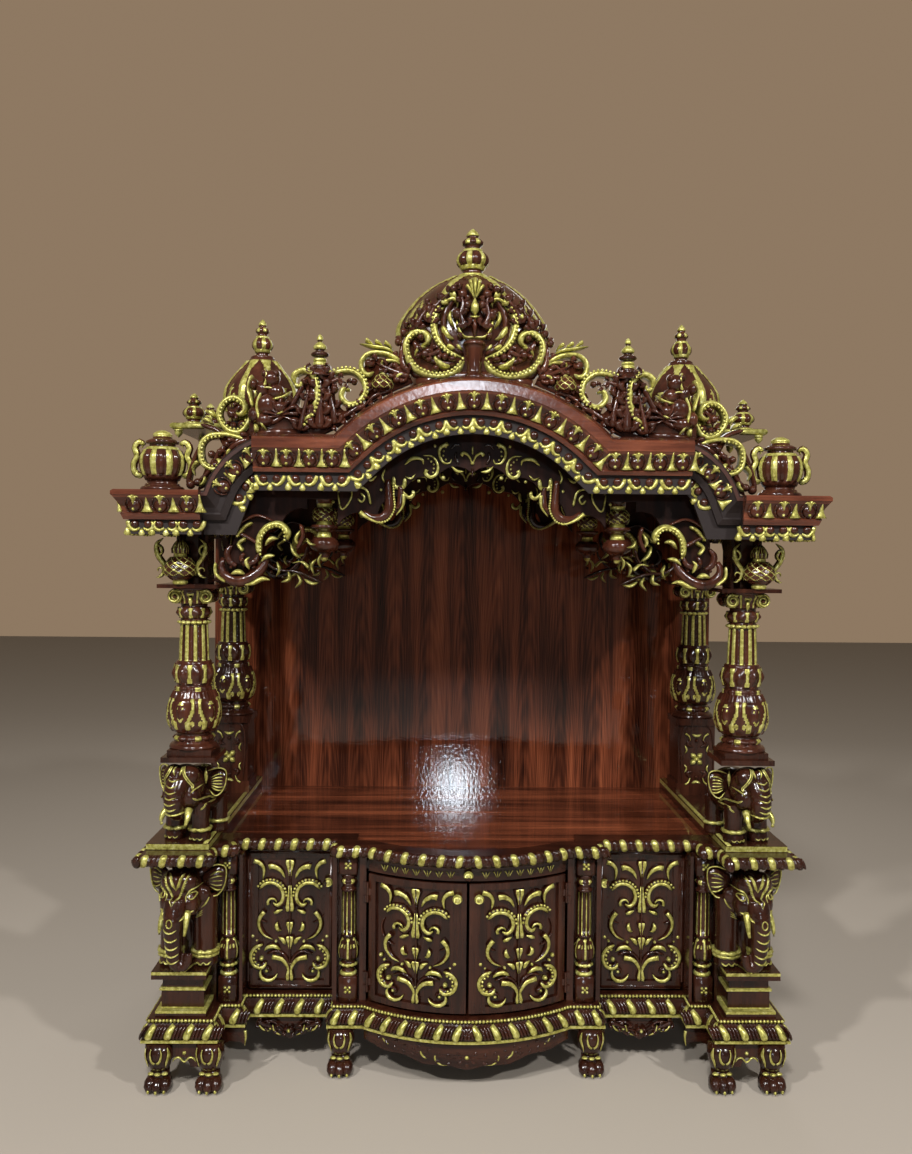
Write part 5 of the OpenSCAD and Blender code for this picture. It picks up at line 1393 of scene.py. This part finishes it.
# shell of leaves with a rider form over it, before the side dome
for k in range(9):
    a, middle = math.radians(200 - 27 * k), np.array((328, 1192))
    tip = middle + 30 * np.array((math.cos(a), math.sin(a)))
    work.stroke(smooth([middle, (middle + tip) / 2 + (3, 2), tip], 6), 9, 9 + 2 * (k % 2), flat(y + 3), "bare", head)
lumps(work, y + 8, 15, [
    (345, 1256, 15, 15), (336, 1264, 6, 7), (356, 1264, 6, 7), (360, 1238, 12, 14), (338, 1234, 15, 13),
    (352, 1212, 21, 20), (374, 1246, 8, 10), (356, 1186, 17, 13), (330, 1208, 13, 11), (374, 1194, 11, 14),
    (305, 1184, 9, 8)], (14, 10))
plank(work, y, [
    (9, 4, "gold", even, (357, 1274), (352, 1256), (359, 1236), (368, 1214), (366, 1192), (354, 1168)),
    (7, 5, "gold", swell, (312, 1236), (322, 1226), (338, 1221), (352, 1220)),
    (6, 5, "gold", even, (340, 1238), (352, 1240), (366, 1234)),
    (7, 4, "gold", even, (378, 1262), (384, 1240), (380, 1222), (376, 1206)),
    (11, 4, "gold", swell, (374, 1180), (370, 1172), (372, 1162)),
    (5, 6, "gold", swell, (322, 1202), (330, 1196), (338, 1197))], (1,))
y = crest["side"]
plank(work, y, [
    (12, 3, "gold", even, *roundScroll), (12, 3, "gold", even, *lowScroll),
    (9, 3, "gold", swell, (424, 1124), (421, 1134), (413, 1139)),
    (8, 3, "gold", swell, (461, 1094), (463, 1080), (474, 1072)),
    (9, 3, "gold", tail, (474, 1116), (483, 1104), (480, 1092)),
    (11, 2, "gold", swell, (442, 1190), (452, 1200), (462, 1202)),
    (9, 3, "gold", swell, (449, 1180), (458, 1188), (468, 1186)),
    (12, 0, "bare", even, (384, 1160), (412, 1150), (436, 1134), (448, 1112)),
    (10, 0, "bare", even, (398, 1170), (424, 1160), (446, 1172), (470, 1180)),
    (10, 0, "bare", even, (446, 1122), (456, 1098), (472, 1082)),
    (10, 0, "bare", even, (458, 1160), (476, 1130), (488, 1096), (492, 1074))], (1,))
face = flat(y)
for line, off in ((roundScroll[1:9], -4.2), (lowScroll[2:8], 4.2)):
    beadsOn(work, face, line, 2.6, 6.2, off, high=2.5)
fretBoard(work, [
    (374, 1148), (398, 1142), (420, 1126), (438, 1102), (452, 1078), (476, 1066), (470, 1086), (462, 1106),
    (452, 1116), (442, 1128), (432, 1144), (440, 1160), (420, 1168), (394, 1168), (380, 1190), (374, 1190)],
    y + 8, y + 18)
sprays(work, flat(y + 6), [(14, 4, 10, (384, 1154), (404, 1148), (422, 1134), (434, 1112)),
                           (10, 3, 8, (400, 1212), (412, 1200), (416, 1184))])
lumps(work, y + 6, 11, [(416, 1198, 8, 8), (450, 1128, 7, 7), (398, 1180, 7, 7), (474, 1080, 7, 7), (486, 1076, 8, 8),
                        (424, 1146, 7, 7)])
work.stroke(np.array([(300, 1166), (340, 1166), (380, 1160)]), 16, 10, flat(crest["front"] + 14), "bare")
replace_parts(work.mirrored().build("crestSideCarving"), "crest_sides")
print("crest")


def toranaCarving(work, y):
    # birds and scrolls on a foiled board, the same on both halves
    face = flat(y)
    marks(work, face, [
        (9, 5, "ridge", head, (1, 1120), (6, 1132), (15, 1138), (20, 1133)),
        (7, 4, "ridge", swell, (15, 1105), (27, 1106), (37, 1115)),
        (10, 4, "ridge", tail, (43, 1154), (56, 1147), (58, 1134), (51, 1121), (40, 1120), (37, 1127)),
        (10, 4, "ridge", head, (87, 1133), (70, 1131), (61, 1116), (63, 1101), (73, 1095), (82, 1101), (80, 1108)),
        (9, 4, "ridge", swell, (119, 1116), (106, 1127), (89, 1126), (86, 1117)),
        (10, 6, "ridge", even, (138, 1095), (136, 1078), (121, 1077), (118, 1093)),
        (9, 6, "ridge", even, (126, 1071), (112, 1059), (103, 1064), (105, 1071)),
        (5, 4, "ridge", swell, (152, 1110), (158, 1094), (150, 1080)),
        (6, 4, "ridge", even, (202, 1078), (185, 1070), (178, 1046)),
        (5, 4, "ridge", even, (196, 1066), (189, 1058), (194, 1050), (201, 1056)),
        (4.5, 4, "ridge", even, (236, 1066), (229, 1037), (214, 1053), (212, 1071), (224, 1078), (236, 1066)),
        (6, 4, "ridge", swell, (168, 1096), (178, 1088), (186, 1092)),
        (5, 4, "ridge", swell, (100, 1100), (108, 1092), (118, 1096)),
        (5, 3, "bare", even, (20, 1150), (30, 1152), (38, 1144)),
        (5, 3, "bare", even, (24, 1118), (30, 1128), (28, 1140))], (1, -1))
    marks(work, face, [(4, 4, "ridge", even, (0, 1150), (0, 1135)), (5, 4, "bare", even, (0, 1112), (0, 1096))])
    for s in (1, -1):
        for line in ([(47, 1148), (52, 1136), (47, 1126)], [(78, 1127), (68, 1117), (69, 1103)]):
            beadsOn(work, face, np.array(line) * (s, 1), 1.9, 5, 0, high=2)
        for u, v, r in ((51, 1094, 4), (94, 1088, 3), (160, 1072, 3), (66, 1150, 3), (244, 1050, 3)):
            work.stud(u * s, v, r, r, face)
    work.stud(0, 1120, 3.6, 6, face)
    work.stud(0, 1101, 3, 3, face)


hornLines = [  # radii along the horn, places
    ((5, 7, 9, 9, 8, 4), (149, 1090), (146, 1062), (145, 1038), (156, 1023), (176, 1022), (191, 1034)),
    ((4, 6, 7, 3), (127, 1078), (125, 1058), (127, 1044), (136, 1032)),
    ((4, 8, 10, 11, 10, 8, 4), (356, 956), (366, 934), (384, 917), (408, 909), (430, 917), (440, 934), (434, 950)),
    ((3, 5, 6, 5, 3), (372, 960), (380, 944), (396, 940), (404, 950), (398, 958)),
    ((4, 6, 6, 3), (412, 936), (424, 944), (428, 960), (420, 972))]


def bracketBird(work, y):
    # curling brown horns with serrated gold edges, by the pendants and over the columns
    for radii, *points in hornLines:
        line = smooth(points, 16)
        work.cord(np.column_stack([line[:, 0], np.full(16, y), line[:, 1]]),
                  np.interp(np.linspace(0, 1, 16), np.linspace(0, 1, len(radii)), radii), 0.0, 8)
    face = flat(y - 6)
    beadsOn(work, face, [(138, 1082), (137, 1060), (136, 1038), (148, 1018), (166, 1014)], 2.2, 4.2, 0, high=0)
    marks(work, face, [
        (8, 5, "gold", tail, (196, 1032), (184, 1023), (170, 1016), (156, 1013)),
        (7, 5, "gold", tail, (120, 1064), (121, 1044), (133, 1027)),
        (8, 6, "gold", swell, (344, 955), (358, 953), (368, 944)),
        (9, 6, "gold", swell, (352, 912), (366, 914), (382, 906), (396, 903)),
        (10, 7, "gold", swell, (396, 922), (408, 926), (420, 922)),
        (7, 6, "gold", swell, (388, 930), (394, 944), (388, 952)),
        (6, 6, "gold", even, (430, 908), (446, 922), (447, 942))])
    for u, v, r in ((130, 1040, 4), (402, 946, 3.4), (420, 934, 3.2), (380, 934, 3)):
        work.stud(u, v, r, 9, flat(y - 4), 0.0)
    # beaded scroll with its leaf between the column and the pendant
    scroll = [(323, 982), (324, 999), (339, 1010), (359, 1004), (372, 985), (373, 957)]
    plank(work, y - 6, [
        (12, 3, "gold", even, *scroll), (9, 3, "gold", swell, (340, 984), (352, 984), (362, 972)),
        (7, 3, "gold", even, (395, 985), (408, 975), (400, 962)),
        (7, 3, "gold", swell, (300, 1000), (308, 984), (303, 972)),
        (7, 2, "gold", even, (384, 1012), (398, 1004), (412, 986)),
        (6, 2, "bare", even, (345, 1014), (380, 1024), (420, 1000)),
        (8, 2, "bare", even, (300, 1010), (296, 990), (306, 966)),
        (8, 0, "bare", even, (373, 975), (400, 990), (430, 1000))], (1,), 8)
    beadsOn(work, flat(y - 6), scroll, 2.4, 5.8, 4, high=2.5)


def vines(work, y):
    # leafy stems under the scroll, in the shade of the canopy
    plank(work, y - 4, [
        (6, 0, "bare", even, (373, 958), (345, 932), (305, 926), (262, 908)),
        (5, 0, "bare", even, (320, 928), (296, 950), (288, 972)),
        (7, 3, "gold", swell, (300, 950), (312, 960), (318, 976)),
        (7, 3, "gold", tail, (286, 934), (298, 944), (314, 942)),
        (6, 3, "gold", swell, (272, 950), (281, 938), (277, 922)),
        (7, 3, "gold", swell, (294, 914), (280, 906), (268, 908)),
        (7, 3, "gold", swell, (334, 908), (320, 914), (322, 930)),
        (6, 3, "gold", swell, (306, 922), (300, 910), (310, 898)),
        (5, 3, "gold", swell, (264, 958), (269, 946), (265, 934)),
        (6, 3, "gold", swell, (342, 944), (337, 930), (343, 918)),
        (6, 3, "gold", swell, (290, 986), (284, 976), (274, 974))], (1,), 8)
    for u, v in ((318, 944), (290, 922), (268, 930), (330, 918), (282, 960), (350, 926)):
        work.stud(u, v, 3.2, 9, flat(y - 4), 0.0)


hanging = [("bracketCarvingFront", bracketBird, 4), ("bracketVines", vines, 6, 448),
           ("toranaCarvingFront", toranaCarving, 10), ("bracketCarvingRear", bracketBird, 448),
           ("toranaCarvingRear", toranaCarving, 459)]
for name, draw, *ys in hanging:
    work = Carving()
    for y in ys:
        draw(work, y)
    if draw is not toranaCarving:  # which draws both halves itself
        work.mirrored()
    work.build(name)
# strokes on the side boards: width, height, taper, places from the end of the board
sideTorana = [
    (9, 4, even, (0, 1000), (22, 996), (34, 978), (24, 964), (12, 972)),
    (7, 4, swell, (44, 1002), (64, 990), (84, 996)), (7, 4, swell, (96, 1004), (112, 994), (124, 996)),
    (6, 4, swell, (-6, 960), (4, 945), (-4, 930))]
work = Carving()
for end, way in ((150, 1), (400, -1)):
    for face in (sideways(-498, -1), sideways(510, 1)):
        marks(work, face, [(width, height, "ridge", taper, *[(end + way * u, v) for u, v in points])
                           for width, height, taper, *points in sideTorana])
work.mirrored().build("toranaCarvingSides")
print("hanging boards")


def fused(work, cell):
    # one smooth skin round overlapping balls and bars
    rough = work.build("rough", ride=False)
    blend = rough.modifiers.new("blend", "REMESH")
    blend.mode, blend.voxel_size = "VOXEL", cell * mm
    soften = rough.modifiers.new("soften", "SMOOTH")
    soften.factor, soften.iterations = 0.5, 4
    bpy.context.view_layer.update()
    mesh = bpy.data.meshes.new_from_object(rough.evaluated_get(bpy.context.evaluated_depsgraph_get()))
    points = np.empty(len(mesh.vertices) * 3)
    mesh.vertices.foreach_get("co", points)
    faces = [tuple(p.vertices) for p in mesh.polygons]
    bpy.data.objects.remove(rough)
    bpy.data.meshes.remove(mesh)
    return points.reshape(-1, 3) / mm, faces


class Projected:
    # drawing thrown from the front onto a fused skin
    ahead = -400

    def __init__(self, points, faces):
        self.tree = BVHTree.FromPolygons([Vector(p) for p in points], faces)

    def line(self, work, points, width, height, section="gold", taper=swell, n=None):
        spots, ups = [], []
        for u, v in smooth(points, n or max(5, len(points) * 4)):
            spot, up, _, _ = self.tree.ray_cast(Vector((u, self.ahead, v)), Vector((0, 1, 0)))
            if spot is not None:
                spots.append(spot[:])
                ups.append(up[:])
        if len(spots) < 3:
            return
        path, up = np.array(spots), np.array(ups)
        across = unit(np.cross(unit(np.gradient(path, axis=0)), up))
        shape = np.array(sections[section])
        grade = taper(len(path))
        rings = path[:, None] + (width / 2 * grade)[:, None, None] * across[:, None] * shape[None, :, :1] \
            + (height * np.minimum(1, grade + 0.2))[:, None, None] * up[:, None] * shape[None, :, 1:2]
        work.skin(rings, shape[:, 2])

    def lines(self, work, s, rows):
        # rows are (width, height, points...) on the right half; s = -1 puts them on the left
        for width, height, *points in rows:
            self.line(work, np.array(points, float) * (s, 1), width, height)


def eyeLine(x, z, rx, rz):
    a = np.linspace(0, 2 * np.pi, 14)
    return np.column_stack([x + rx * np.cos(a), z + rz * np.sin(a)])


def anklet(work, x, y, z, r, thick, uneven):
    # a ring of beads round a leg
    a = np.linspace(0, 2 * np.pi, 21)
    work.cord(np.column_stack([x + r * np.cos(a), y + r * np.sin(a), np.full(21, z)]),
              thick * (1 + uneven * np.sin(np.arange(21) * 2.6)), 1.0, 6)


def earFan(work, s, x, y, z, reach, tall, lines):
    # a flat ear that opens to the side, with ribs and a gold rim
    face, back = (framed((s * x, front, z), (s * 0.92, 0.38, 0), (0, 0, 1), (0.38 * s, -0.92, 0))
                  for front in (y, y + 7))
    outline = [(0, tall * 0.42), (reach * 0.55, tall * 0.52), (reach, tall * 0.42), (reach * 1.02, 0),
               (reach * 0.78, -tall * 0.36), (reach * 0.42, -tall * 0.5), (reach * 0.1, -tall * 0.28)]
    work.stroke([(-8, 0), (reach * 0.25, 0), (reach * 0.6, 0), (reach * 0.9, 0), (reach * 1.02, 0)], tall, 8, back,
                "bare", np.array([0.45, 0.8, 1, 0.86, 0.6]))
    work.stroke(smooth(outline, 22), 2.6, 2.4, face, "gold", even)
    for k in range(lines):
        v = tall * (0.3 - 0.62 * k / (lines - 1))
        work.stroke(smooth([(reach * 0.2, v * 0.55), (reach * 0.55, v * 0.95), (reach * 0.9, v * 0.9)], 6), 3.0, 2.4,
                    face, "gold", swell)


def limb(work, x, y, top, r, foot):
    work.cord([(x, y, z) for z in (0, 8, 16, top / 2, top)], [foot, foot, r + 1, r, r + 2], 0, 20)


lowerLegs = {-1: (-33, -6, 21), 1: (28, -16, 19)}  # x, y and radius; one foot stands further forward


def lowerElephant():
    flesh = Carving()
    flesh.ball((0, -28, 140), (35, 32, 40), 0, 20, 14)
    for s in (1, -1):
        flesh.ball((s * 14, -42, 158), 21, 0, 16, 10)
        flesh.ball((s * 20, -42, 121), (17, 19, 24), 0, 16, 10)
        flesh.ball((s * 36, -22, 132), (14, 12, 16), 0, 12, 8)
    flesh.cord(smooth([(0, -56, 124), (0, -68, 104), (0, -71, 80), (0, -68, 52), (-1, -66, 30), (-6, -67, 17),
                       (-18, -67, 15), (-25, -66, 26), (-25, -64, 38)], 26),
               np.interp(np.linspace(0, 1, 26), [0, 0.15, 0.4, 0.6, 0.72, 0.8, 0.88, 1],
                         [22, 19.5, 16.5, 14.5, 13, 10, 8, 8.5]), 0, 18)
    for s, top in ((-1, 130), (1, 120)):
        x, y, r = lowerLegs[s]
        limb(flesh, x, y, top, r, r + 2)
    flesh.ball((0, 26, 120), (46, 46, 66), 0, 24, 16)
    flesh.cord([(0, 30, 3), (0, 30, 60), (0, 30, 120)], [36, 38, 40], 0, 24)
    points, faces = fused(flesh, 2.3)
    work = Carving()
    work.add(points, faces, 0.0)
    skin = Projected(points, faces)
    for s in (1, -1):
        for a, b in (((-21, 176), (0, 124)), ((-9, 172), (0, 146))):
            v = smooth([(s * a[0], a[1]), (s * a[0] * 0.62, (a[1] * 0.55 + b[1] * 0.45)), b], 12)
            skin.line(work, v, 2.4, 2.2)
            for i in range(1, 11):
                x, z = v[i]
                skin.line(work, [(x, z), (x - s * 3.5, z + 4.5), (x - s * 7, z + 6.5)], 2.2, 2.0, n=5)
        skin.line(work, eyeLine(s * 27, 138, 5, 6), 2.6, 2.4, "gold", even, n=18)
        skin.lines(work, s, [(3, 2.4, (19, 140), (26, 149), (35, 152)), (3, 2.4, (19, 128), (18, 136), (22, 146)),
                             (3, 2.4, (34, 108), (42, 116), (48, 128)), (5, 3.5, (15, 100), (22, 108), (31, 112)),
                             (3, 2.4, (8, 184), (20, 178), (30, 183))])
        work.cord(smooth([(s * 20, -58, 110), (s * 23, -68, 96), (s * 24, -74, 82), (s * 23, -77, 73)], 9),
                  np.linspace(7.5, 2.2, 9), 1.0, 10)
        earFan(work, s, 40, -20, 154, 34, 56, 5)
        for k in range(3):
            skin.line(work, [(s * 30 - s * 3 + 3 * k, 96 - 4 * k), (s * 30 + 7 * s, 104 - 4 * k)], 2, 2, n=6)
        foot, fy, r = lowerLegs[s]
        for z, thick in ((26, 4.2), (19, 3.2)):
            anklet(work, foot, fy, z, r + 2.0, thick, 0.3)
        for k in (-1, 0, 1):
            skin.line(work, [(foot - 6 + 11 * k, 9), (foot + 11 * k, 4), (foot + 6 + 11 * k, 9)], 3.4, 3, n=6)
    skin.line(work, eyeLine(0, 97, 5, 7), 2.4, 2.2, "gold", even, n=18)
    for z in (82, 66, 51, 37, 25):
        skin.line(work, [(-12, z + 4), (-6, z), (0, z - 1.5), (6, z), (12, z + 4)], 3.2, 2.6, n=12)
    return work


def upperElephant():
    flesh = Carving()
    flesh.ball((0, -30, 100), (37, 34, 38), 0, 20, 14)
    for s in (1, -1):
        flesh.ball((s * 15, -46, 121), (20, 18, 19), 0, 16, 10)
        flesh.ball((s * 19, -46, 84), (18, 19, 22), 0, 16, 10)
        limb(flesh, s * 25, -24, 70, 17, 19.5)
        limb(flesh, s * 25, 44, 70, 17, 19)
    flesh.cord(smooth([(0, -56, 110), (0, -70, 90), (0, -72, 74), (0, -64, 60), (0, -52, 54)], 14),
               np.linspace(22, 15, 14), 0, 18)
    flesh.ball((0, 18, 84), (44, 58, 44), 0, 24, 16)
    points, faces = fused(flesh, 2.1)
    work = Carving()
    work.add(points, faces, 0.0)
    skin = Projected(points, faces)
    for z in (116, 106, 96, 86, 76, 66):
        skin.line(work, [(-11, z + 2.5), (0, z - 1), (11, z + 2.5)], 3.4, 2.8, n=10)
    skin.line(work, [(-20, 62), (-8, 57), (8, 57), (20, 62)], 3.2, 2.8, "gold", even, n=14)
    for s in (1, -1):
        skin.line(work, [(s * 12, 138), (s * 16, 126), (s * 24, 112), (s * 27, 98)], 7.5, 3.2, "groove", even, n=16)
        skin.lines(work, s, [(3, 2.4, (26, 92), (32, 100), (36, 104)), (4, 2.6, (4, 140), (8, 132), (5, 122))])
        skin.line(work, [(s * 30, 84), (s * 38, 76), (s * 40, 66), (s * 34, 58)], 4.5, 2.8, "groove", even, n=12)
        work.cord(smooth([(s * 21, -58, 62), (s * 25, -68, 52), (s * 25, -73, 43), (s * 23, -74, 36)], 9),
                  np.linspace(7.5, 2.5, 9), 1.0, 10)
        earFan(work, s, 37, -18, 104, 32, 50, 6)
        work.stroke([(s * 39, 132), (s * 40, 118), (s * 39, 104)], 8, 4, flat(-27), "groove", even)
        for y in (-24, 44):
            anklet(work, s * 25, y, 21, 19, 3.6, 0.25)
        for k in (-1, 0, 1):
            skin.line(work, [(s * 25 - 4 + 9 * k, 7), (s * 25 + 9 * k, 3.5), (s * 25 + 4 + 9 * k, 7)], 2.6, 2.4, n=5)
    return work


elephants = {"lower": {"make": lowerElephant, "place": (509, 74, 211), "turn": 10, "node": "elephants_lower"},
             "upper": {"make": upperElephant, "place": (506, 96, 436), "turn": 16, "node": "elephants_upper"}}
for which, settings in elephants.items():
    work = settings["make"]()
    c, s = math.cos(math.radians(settings["turn"])), math.sin(math.radians(settings["turn"]))
    turn = np.array(((c, s, 0), (-s, c, 0), (0, 0, 1)))
    work.points = [p @ turn + settings["place"] for p in work.points]
    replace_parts(work.mirrored().build(which + "ElephantCarving"), settings["node"])
print("elephants")

paw = {"corners": (458.5, 548.5), "cornerY": 10, "middle": (231.5, 72), "rearY": 590}


def onePaw(work, x, y, way=1, knee=True):
    top = 86
    for t in (-1, 0, 1):
        work.cord([(x + t * 11, y + way * 4, 20), (x + t * 13, y - way * 8, 17),
                   (x + t * 14, y - way * (17 - 3 * abs(t)), 11), (x + t * 14, y - way * (22 - 3 * abs(t)), 7)],
                  [11, 11, 9.5, 5], 0, 12)
        work.ball((x + t * 14, y - way * (24 - 3 * abs(t)), 7), (2.6, 3, 3.4), 1.0, 8, 5)
    work.cord([(x, y + way * 8, 0.5), (x, y + way * 8, 12), (x, y + way * 7, 28), (x, y + way * 7, 40)],
              [20, 21, 17, 17], 0, 20)
    for t in (-1, 0, 1):
        work.ball((x + t * 12, y - way * (10 - 3 * abs(t)), 33), (6, 5, 2.8), 1.0, 10, 6)
    if knee:
        work.cord([(x, y + way * 8, 38), (x, y + way * 5, 50), (x, y + way * 2, 66), (x, y + way * 4, top)],
                  [17, 21, 26, 24], 0, 24)
        face = (lambda u, v, h: np.stack([x + u, y + way * 3 - way * (np.sqrt(np.maximum(26 ** 2 - u * u, 9)) + h
                                                                    - 6 * np.clip((66 - v) / 22, 0, 1)), v], -1))
        for s in (1, -1):
            work.stroke(smooth([(s * 8, 84), (s * 10, 74), (s * 7, 62), (s * 2, 58)], 9), 7, 4, face, "ridge", head)
            work.stroke(smooth([(s * 19, 84), (s * 21, 70), (s * 17, 56), (s * 15, 47)], 9), 6, 3, face, "ridge",
                        swell)
    else:
        work.cord([(x, y + way * 8, 38), (x, y + way * 8, 60), (x, y + way * 6, top)], [17, 20, 23], 0, 20)


work = Carving()
for x in paw["corners"]:
    onePaw(work, x, paw["cornerY"] + 4)
    onePaw(work, x, paw["rearY"], -1)
onePaw(work, *paw["middle"])
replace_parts(work.mirrored().build("pawCarving"), "paw_feet")

work = Carving()
face = flat(12)
marks(work, face, [(3.4, 2.6, "gold", even, (482, 52), (486, 58), (494, 60), (503, 52), (512, 60), (520, 58),
                    (524, 52))])
work.stud(503, 68, 3.6, 3.5, face)
for x, y, s in ((404, 62, 1), (258, 106, -1)):
    marks(work, flat(y - 2), [(6, 4, "gold", tail, (x, 86), (x - s * 1, 74), (x + s * 1, 58))])
for x0, s in ((276, 1), (388, -1)):
    marks(work, flat(109), [(5, 4, "ridge", swell, (x0, 76), (x0 + 8 * s, 66), (x0 + 20 * s, 62)),
                            (5, 4, "ridge", swell, (x0 + 26 * s, 74), (x0 + 30 * s, 62), (x0 + 42 * s, 54)),
                            (4, 3, "bare", swell, (x0 + 6 * s, 80), (x0 + 26 * s, 80), (x0 + 46 * s, 66))])
    work.stud(x0 + 22 * s, 67, 3, 4, flat(109))
work.stud(332, 62, 3.6, 5, flat(109))
bow = bowed(base["bowR"] - 14, bowCentre(base))
marks(work, bow, [
    (6, 4.5, "ridge", swell, (52, 72), (57, 60), (50, 50), (34, 46)),
    (6, 4.5, "ridge", swell, (84, 76), (80, 62), (64, 53)),
    (6, 4.5, "ridge", swell, (158, 86), (154, 76), (138, 68)),
    (6, 4, "bare", even, (8, 58), (26, 66), (44, 58), (60, 64)),
    (5, 4, "bare", swell, (96, 72), (112, 76), (130, 68)), (5, 4, "bare", swell, (20, 78), (34, 72), (46, 78))])
sprays(work, bow, [(10, 5, 5, (8, 62), (34, 58), (62, 64), (84, 70)),
                   (9, 5, 5, (168, 88), (146, 80), (122, 72), (100, 68))])
for x0, s in ((272, 1), (392, -1)):
    leafy(work, flat(109), [(x0, 80), (x0 + 20 * s, 72), (x0 + 50 * s, 62)], 9, 4, 5)
for tint, places in ((1.0, ((112, 64), (184, 82), (30, 70))),
                     (0.0, ((16, 66), (26, 52), (70, 70), (98, 66), (128, 74), (142, 78)))):
    for u, v in places:
        work.stud(u, v, 3.6, 4, bow, tint)
work.mirrored()
work.stud(0, 62, 5, 7, bow)
work.stroke([(0, 40), (0, 48), (0, 56)], 12, 6, bow, "bare", swell)
work.build("apronCarving")

work = Carving()
edge = {"x": 473, "y0": 38, "length": 545, "z": 436, "postX": 504, "postHalf": 17, "postLow": 903, "postHigh": 1014}
work.stroke([(edge["x"], 0), (edge["x"], edge["length"])], 9, 1.6,
            lambda u, v, h: np.stack([u, edge["y0"] + v, edge["z"] + h], -1), "gold")
for x in (edge["postX"] - edge["postHalf"], edge["postX"] + edge["postHalf"]):
    work.stroke([(x, edge["postLow"]), (x, edge["postHigh"])], 12, 5, flat(66), "bare")
work.mirrored().build("edgeCarving")

pedestal = {"x": 509, "z": 515, "y": 424, "half": 30, "low": 452, "high": 578, "sill": 446}
pedestalMarks = [  # width, height, section, taper, places from the middle of the panel
    (6, 5, "ridge", tail, (25, 56), (17, 50), (13, 38)), (5, 4, "ridge", swell, (26, 30), (22, 20), (26, 12)),
    (8, 4, "bare", swell, (8, 26), (20, 32), (10, 44))]
work = Carving()
x, z, face = pedestal["x"], pedestal["z"], flat(pedestal["y"])
low, high, sill = pedestal["low"], pedestal["high"], pedestal["sill"]
x0, x1 = x - pedestal["half"], x + pedestal["half"]
marks(work, face, [(3.2, 2, "bare", even, (x0, low), (x1, low), (x1, high), (x0, high), (x0, low)),
                   (4.2, 2.6, "bare", even, (x0, sill), (x1, sill))])
for a in np.radians(range(45, 405, 90)):
    c, s = math.cos(a), math.sin(a)
    work.stroke(smooth([(x + r * c, z + r * s) for r in (3, 10, 17)], 6), 12, 6, face, "gold", swell)
work.stud(x, z, 6, 8, face)
for t in (1, -1):
    for s in (1, -1):
        marks(work, face, [(*row[:4], *[(x + s * u, z + t * v) for u, v in row[4:]]) for row in pedestalMarks])
    work.stroke(smooth([(x + u, z + t * v) for u, v in ((-10, 54), (0, 50), (10, 54))], 8), 7, 5, face, "gold", swell)
    work.stud(x, z + t * 40, 4, 6, face, 0.0)
work.mirrored().build("pedestalCarving")
print("feet, aprons and blocks")

knobs = {"side_door_right": (260, 342), "side_door_left": (-260, 342), "bow_door_right": (19.5, 347),
         "bow_door_left": (-19.5, 347), "drawer": (0, 389)}
for node, (x, z) in knobs.items():
    tip = (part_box(node)[0][1] - frontY) / mm
    work = Carving()
    work.turned((x, tip + 18.6, z), [(4, (5, 4.6), gilt, 2), (3, (4.6, 5), gilt, 1), (2, (5, 7.6), gilt, 2),
                                     (4, (7.6, 8.6), gilt, 3), (4, (8.6, 6.6), gilt, 3), (1.8, (6.6, 0.4), gilt, 2)],
                24, tilt=((1, 0, 0), (0, 0, -1), (0, 1, 0)))
    if node == "drawer":
        curve = bowed(bowCentre(base) - tip - 17.6, bowCentre(base))
        for u in np.arange(-157.5, 158, 21):
            for lean in (-1, 0, 1):
                if abs(u) > 12:
                    work.stroke([(u + lean * 1.2, 381), (u + lean * 3.5, 387), (u + lean * 7, 393)], 3.2, 2.2, curve,
                                "ridge", head)
    work.build("knobCarving_" + node if node != "drawer" else "drawerCarving", node)
